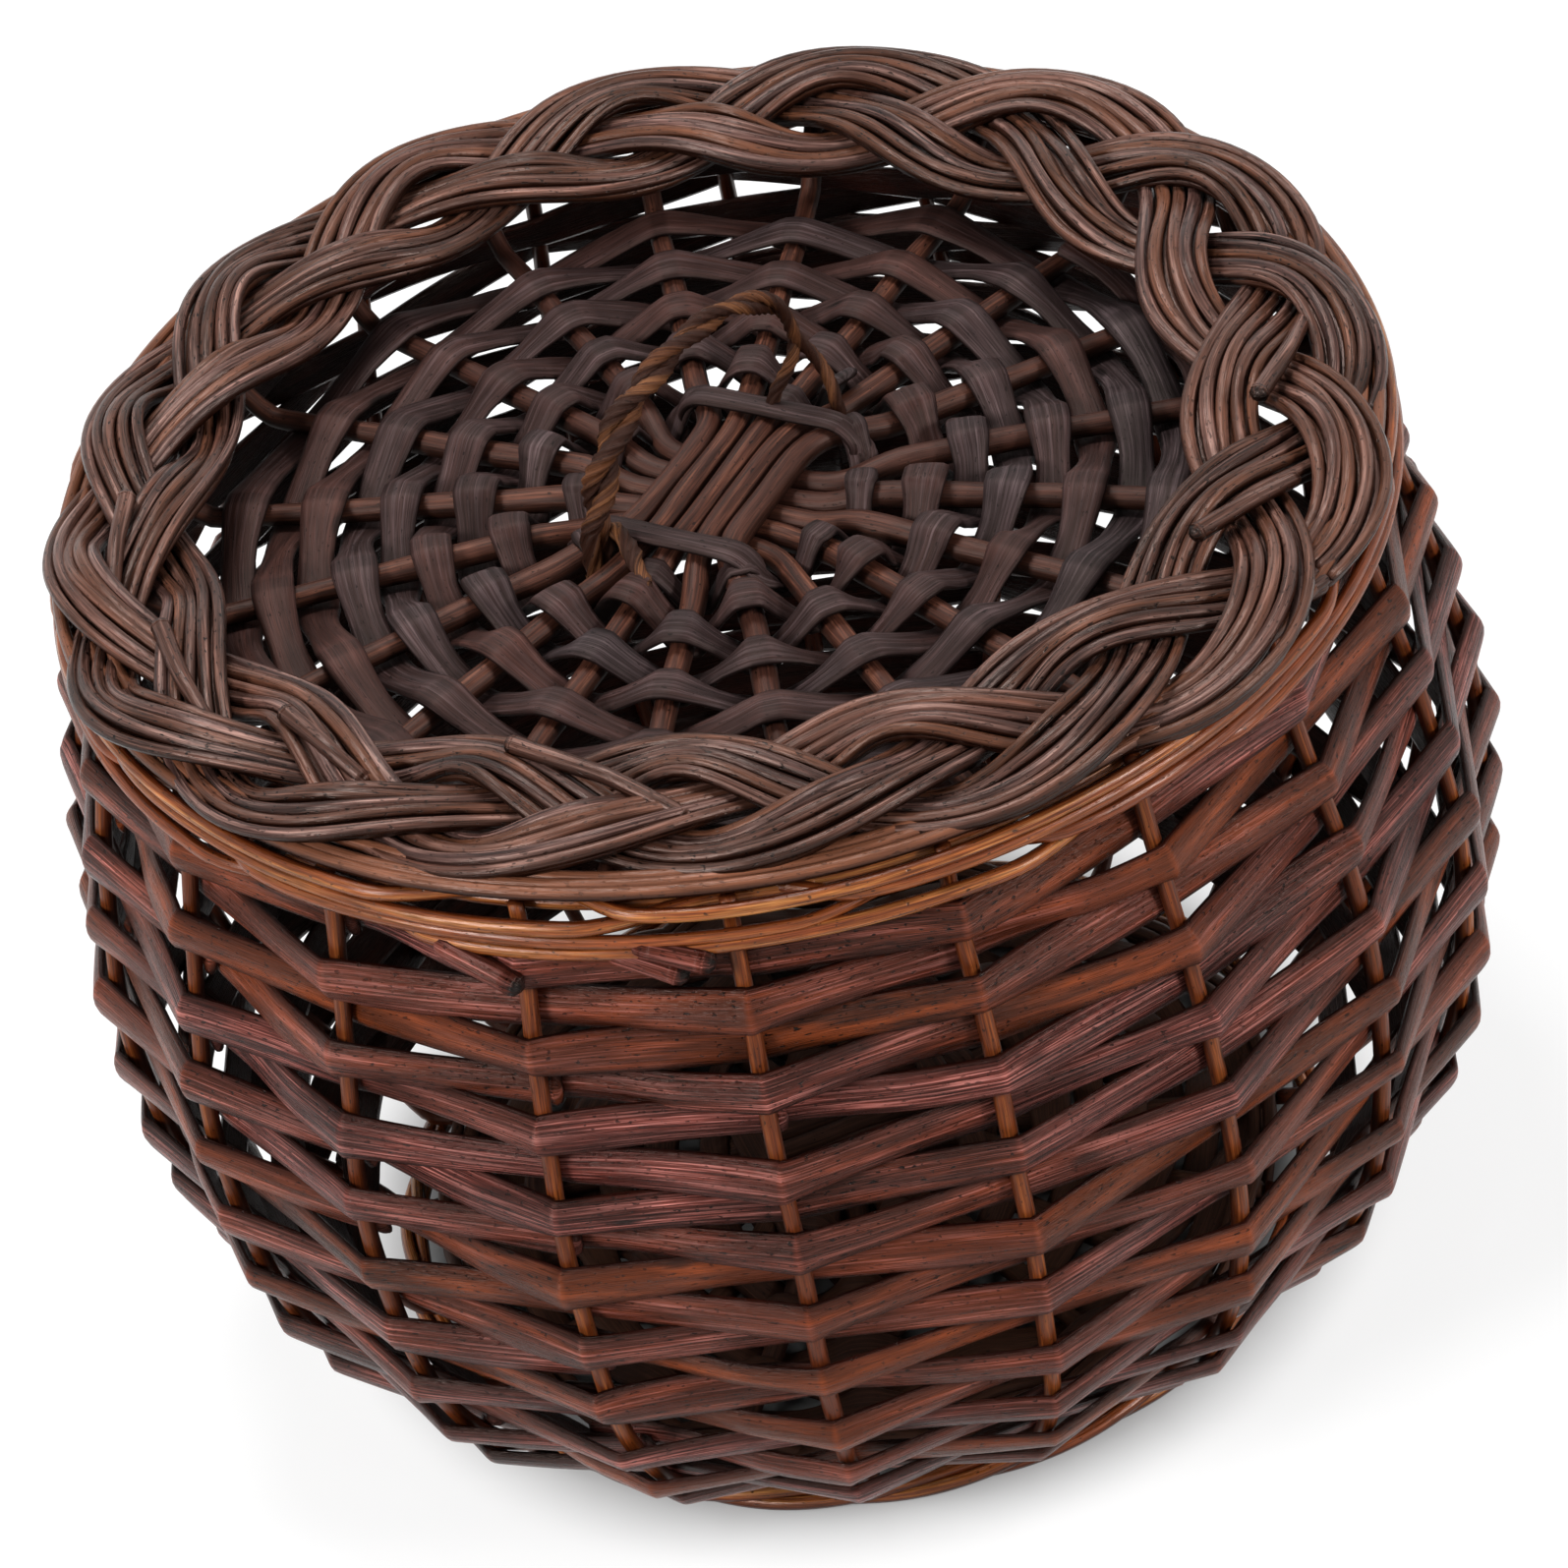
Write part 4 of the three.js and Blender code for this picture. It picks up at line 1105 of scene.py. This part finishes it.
RIDGED = np.array([(1 + RIDGE_RISE * math.cos(RIDGES * a)) * np.array((math.cos(a), math.sin(a)))
                   for a in whole_turn(RIDGED_SIDES)])
TAIL = ((-34, -15, 270), (-30, -19, 271), (-27.5, -27, 270), (-26.5, -35, 268.5), (-24.5, -43, 267))
TAIL_RADIUS = 1.9


def loop_rod(number):
    stops = [LOOP_FEET[0] * (1 - share) + LOOP_FEET[1] * share + (0, 0, rise * LOOP_RISE)
             for share, rise in LOOP_SHAPE]
    line = flow(through(stops, 12), 1.6, 4)
    share = np.linspace(0, 1, len(line))
    along = unit(np.gradient(line, axis=0))
    sideways = unit(np.cross(LOOP_FEET[1] - LOOP_FEET[0], UP))
    in_plane = unit(np.cross(sideways, along))
    angle = math.pi * (number + LOOP_HALF_TWISTS
                       * np.clip((share - LOOP_TWIST_FROM) / LOOP_TWIST_SHARE, 0, 1))
    twist = in_plane * np.cos(angle)[:, None] + sideways * np.sin(angle)[:, None]
    thick = LOOP_ROD_RADIUS * (1.05 - LOOP_TAPER * smooth(share, 0.2, 0.6))
    part = smooth(share, 0.72, 0.98)[:, None] * LOOP_PARTING[number]
    line = line + twist * (thick * LOOP_PRESS)[:, None] + part
    line, size = blunt(line, even(thick))
    wring = np.linspace(0, TURN * LOOP_WRINGS, len(line))
    out = pad_ends(twist)
    across = np.cross(pad_ends(along), out)
    out = out * np.cos(wring)[:, None] + across * np.sin(wring)[:, None]
    return laid(line, out, size, RIDGED, tone=0.3 + 0.3 * number, seed=4000 + number)


def frayed_tail():
    """The end of a rod of the loop that hangs out over the lid."""
    line = flow(TAIL, 1.2, 3)
    share = np.linspace(0, 1, len(line))
    thick = TAIL_RADIUS * (0.75 + 0.4 * np.sin(share * math.pi))
    line, size = blunt(line, np.stack([thick, thick * 1.2], axis=1))
    turn = np.linspace(0, TURN * 1.5, len(line))
    out = np.stack([np.cos(turn), 0 * turn, np.sin(turn)], axis=1)
    return laid(line, out, size, RIDGED, tone=0.2, seed=4010)


for number in range(2):
    rods = [loop_rod(number)] + ([frayed_tail()] if number == 0 else [])
    piece(numbered("loop_rod", number), "_twist", rods, LOOP_WILLOW, "lid")
print("loop rises", LOOP_RISE, "mm over its feet, with", LOOP_HALF_TWISTS, "half twists")

# %% [markdown]
# ## Floor and light
# The photograph is cut out on white. So the surround is full white for the camera and for
# reflections, and dim for the rest, or it would wash out the wood. The floor glows from a little
# way off the basket on. Nearer it does not glow, so the lamps' shadow stays there, and the disc
# without glow is painted shade under and in the basket. Soft lamps stand left, right and behind.

# %% Surround and floor
WHITE = (1, 1, 1, 1)
SURROUND_SEEN = 1.0
SURROUND_LIGHT = 0.25
FLOOR_SEEN = 0.3
FLOOR_LIGHT = 0.35
FLOOR_GLOW = 0.74
# Painted shade: nearer the middle than these distances the floor does not glow, and stays dark under
# and in the basket.
PAINTED_FLOOR_SHADE = (0.12, 0.165)
FLOOR_HALF = 6.0
FLOOR_ROUGHNESS = 0.9


def ray_strength(tree, seen, lighting):
    """A strength for what the camera and reflections see, and another for what gives light."""
    path = add(tree, "ShaderNodeLightPath").outputs
    rays = math_of(tree, "ADD", path["Is Camera Ray"], path["Is Glossy Ray"])
    rays = math_of(tree, "ADD", rays, path["Is Transmission Ray"], clamp=True)
    return between(tree, rays, 0.0, 1.0, lighting, seen)


world = bpy.data.worlds.new("white_surround")
bpy.context.scene.world = world
world.use_nodes = True
sky = world.node_tree.nodes["Background"].inputs
sky["Color"].default_value = WHITE
world.node_tree.links.new(ray_strength(world.node_tree, SURROUND_SEEN, SURROUND_LIGHT),
                          sky["Strength"])

flat = bmesh.new()
bmesh.ops.create_grid(flat, x_segments=1, y_segments=1, size=FLOOR_HALF)
ground = bpy.data.meshes.new("floor")
flat.to_mesh(ground)
flat.free()
floor = in_scene("floor", ground)
paint = bpy.data.materials.new("pale_floor")
paint.use_nodes = True
tree = paint.node_tree
shader = tree.nodes["Principled BSDF"].inputs
shader["Roughness"].default_value = FLOOR_ROUGHNESS
shader["Emission Color"].default_value = WHITE
where = add(tree, "ShaderNodeTexCoord").outputs["Object"]
# The glow starts past a disc of painted shade round the basket's middle.
away = add(tree, "ShaderNodeVectorMath", {0: where}, operation="LENGTH").outputs["Value"]
away = between(tree, away, *PAINTED_FLOOR_SHADE, interpolation_type="SMOOTHSTEP")
glow = math_of(tree, "MULTIPLY", away, ray_strength(tree, FLOOR_GLOW, 0.0))
tree.links.new(ray_strength(tree, FLOOR_SEEN, FLOOR_LIGHT), shader["Base Color"])
tree.links.new(glow, shader["Emission Strength"])
ground.materials.append(paint)
print("floor is", 2 * FLOOR_HALF, "m wide")

# %% Lamps
LAMP_TARGET = (0, 0, 0.2)
LAMPS = (("key_lamp", (-1.6, -1.2, 1.5), 0.7, 42.0),
         ("top_lamp", (-0.2, 0.7, 2.3), 0.8, 29.0),
         ("fill_lamp", (1.8, -1.3, 1.3), 0.6, 38.0))
for name, place, size, power in LAMPS:
    light = bpy.data.lights.new(name, "AREA")
    light.shape = "DISK"
    light.size = size
    light.energy = power
    obj = in_scene(name, light)
    obj.location = place
    aim = Vector(LAMP_TARGET) - Vector(place)
    obj.rotation_euler = aim.to_track_quat("-Z", "Y").to_euler()
print("lamps:", len(LAMPS))
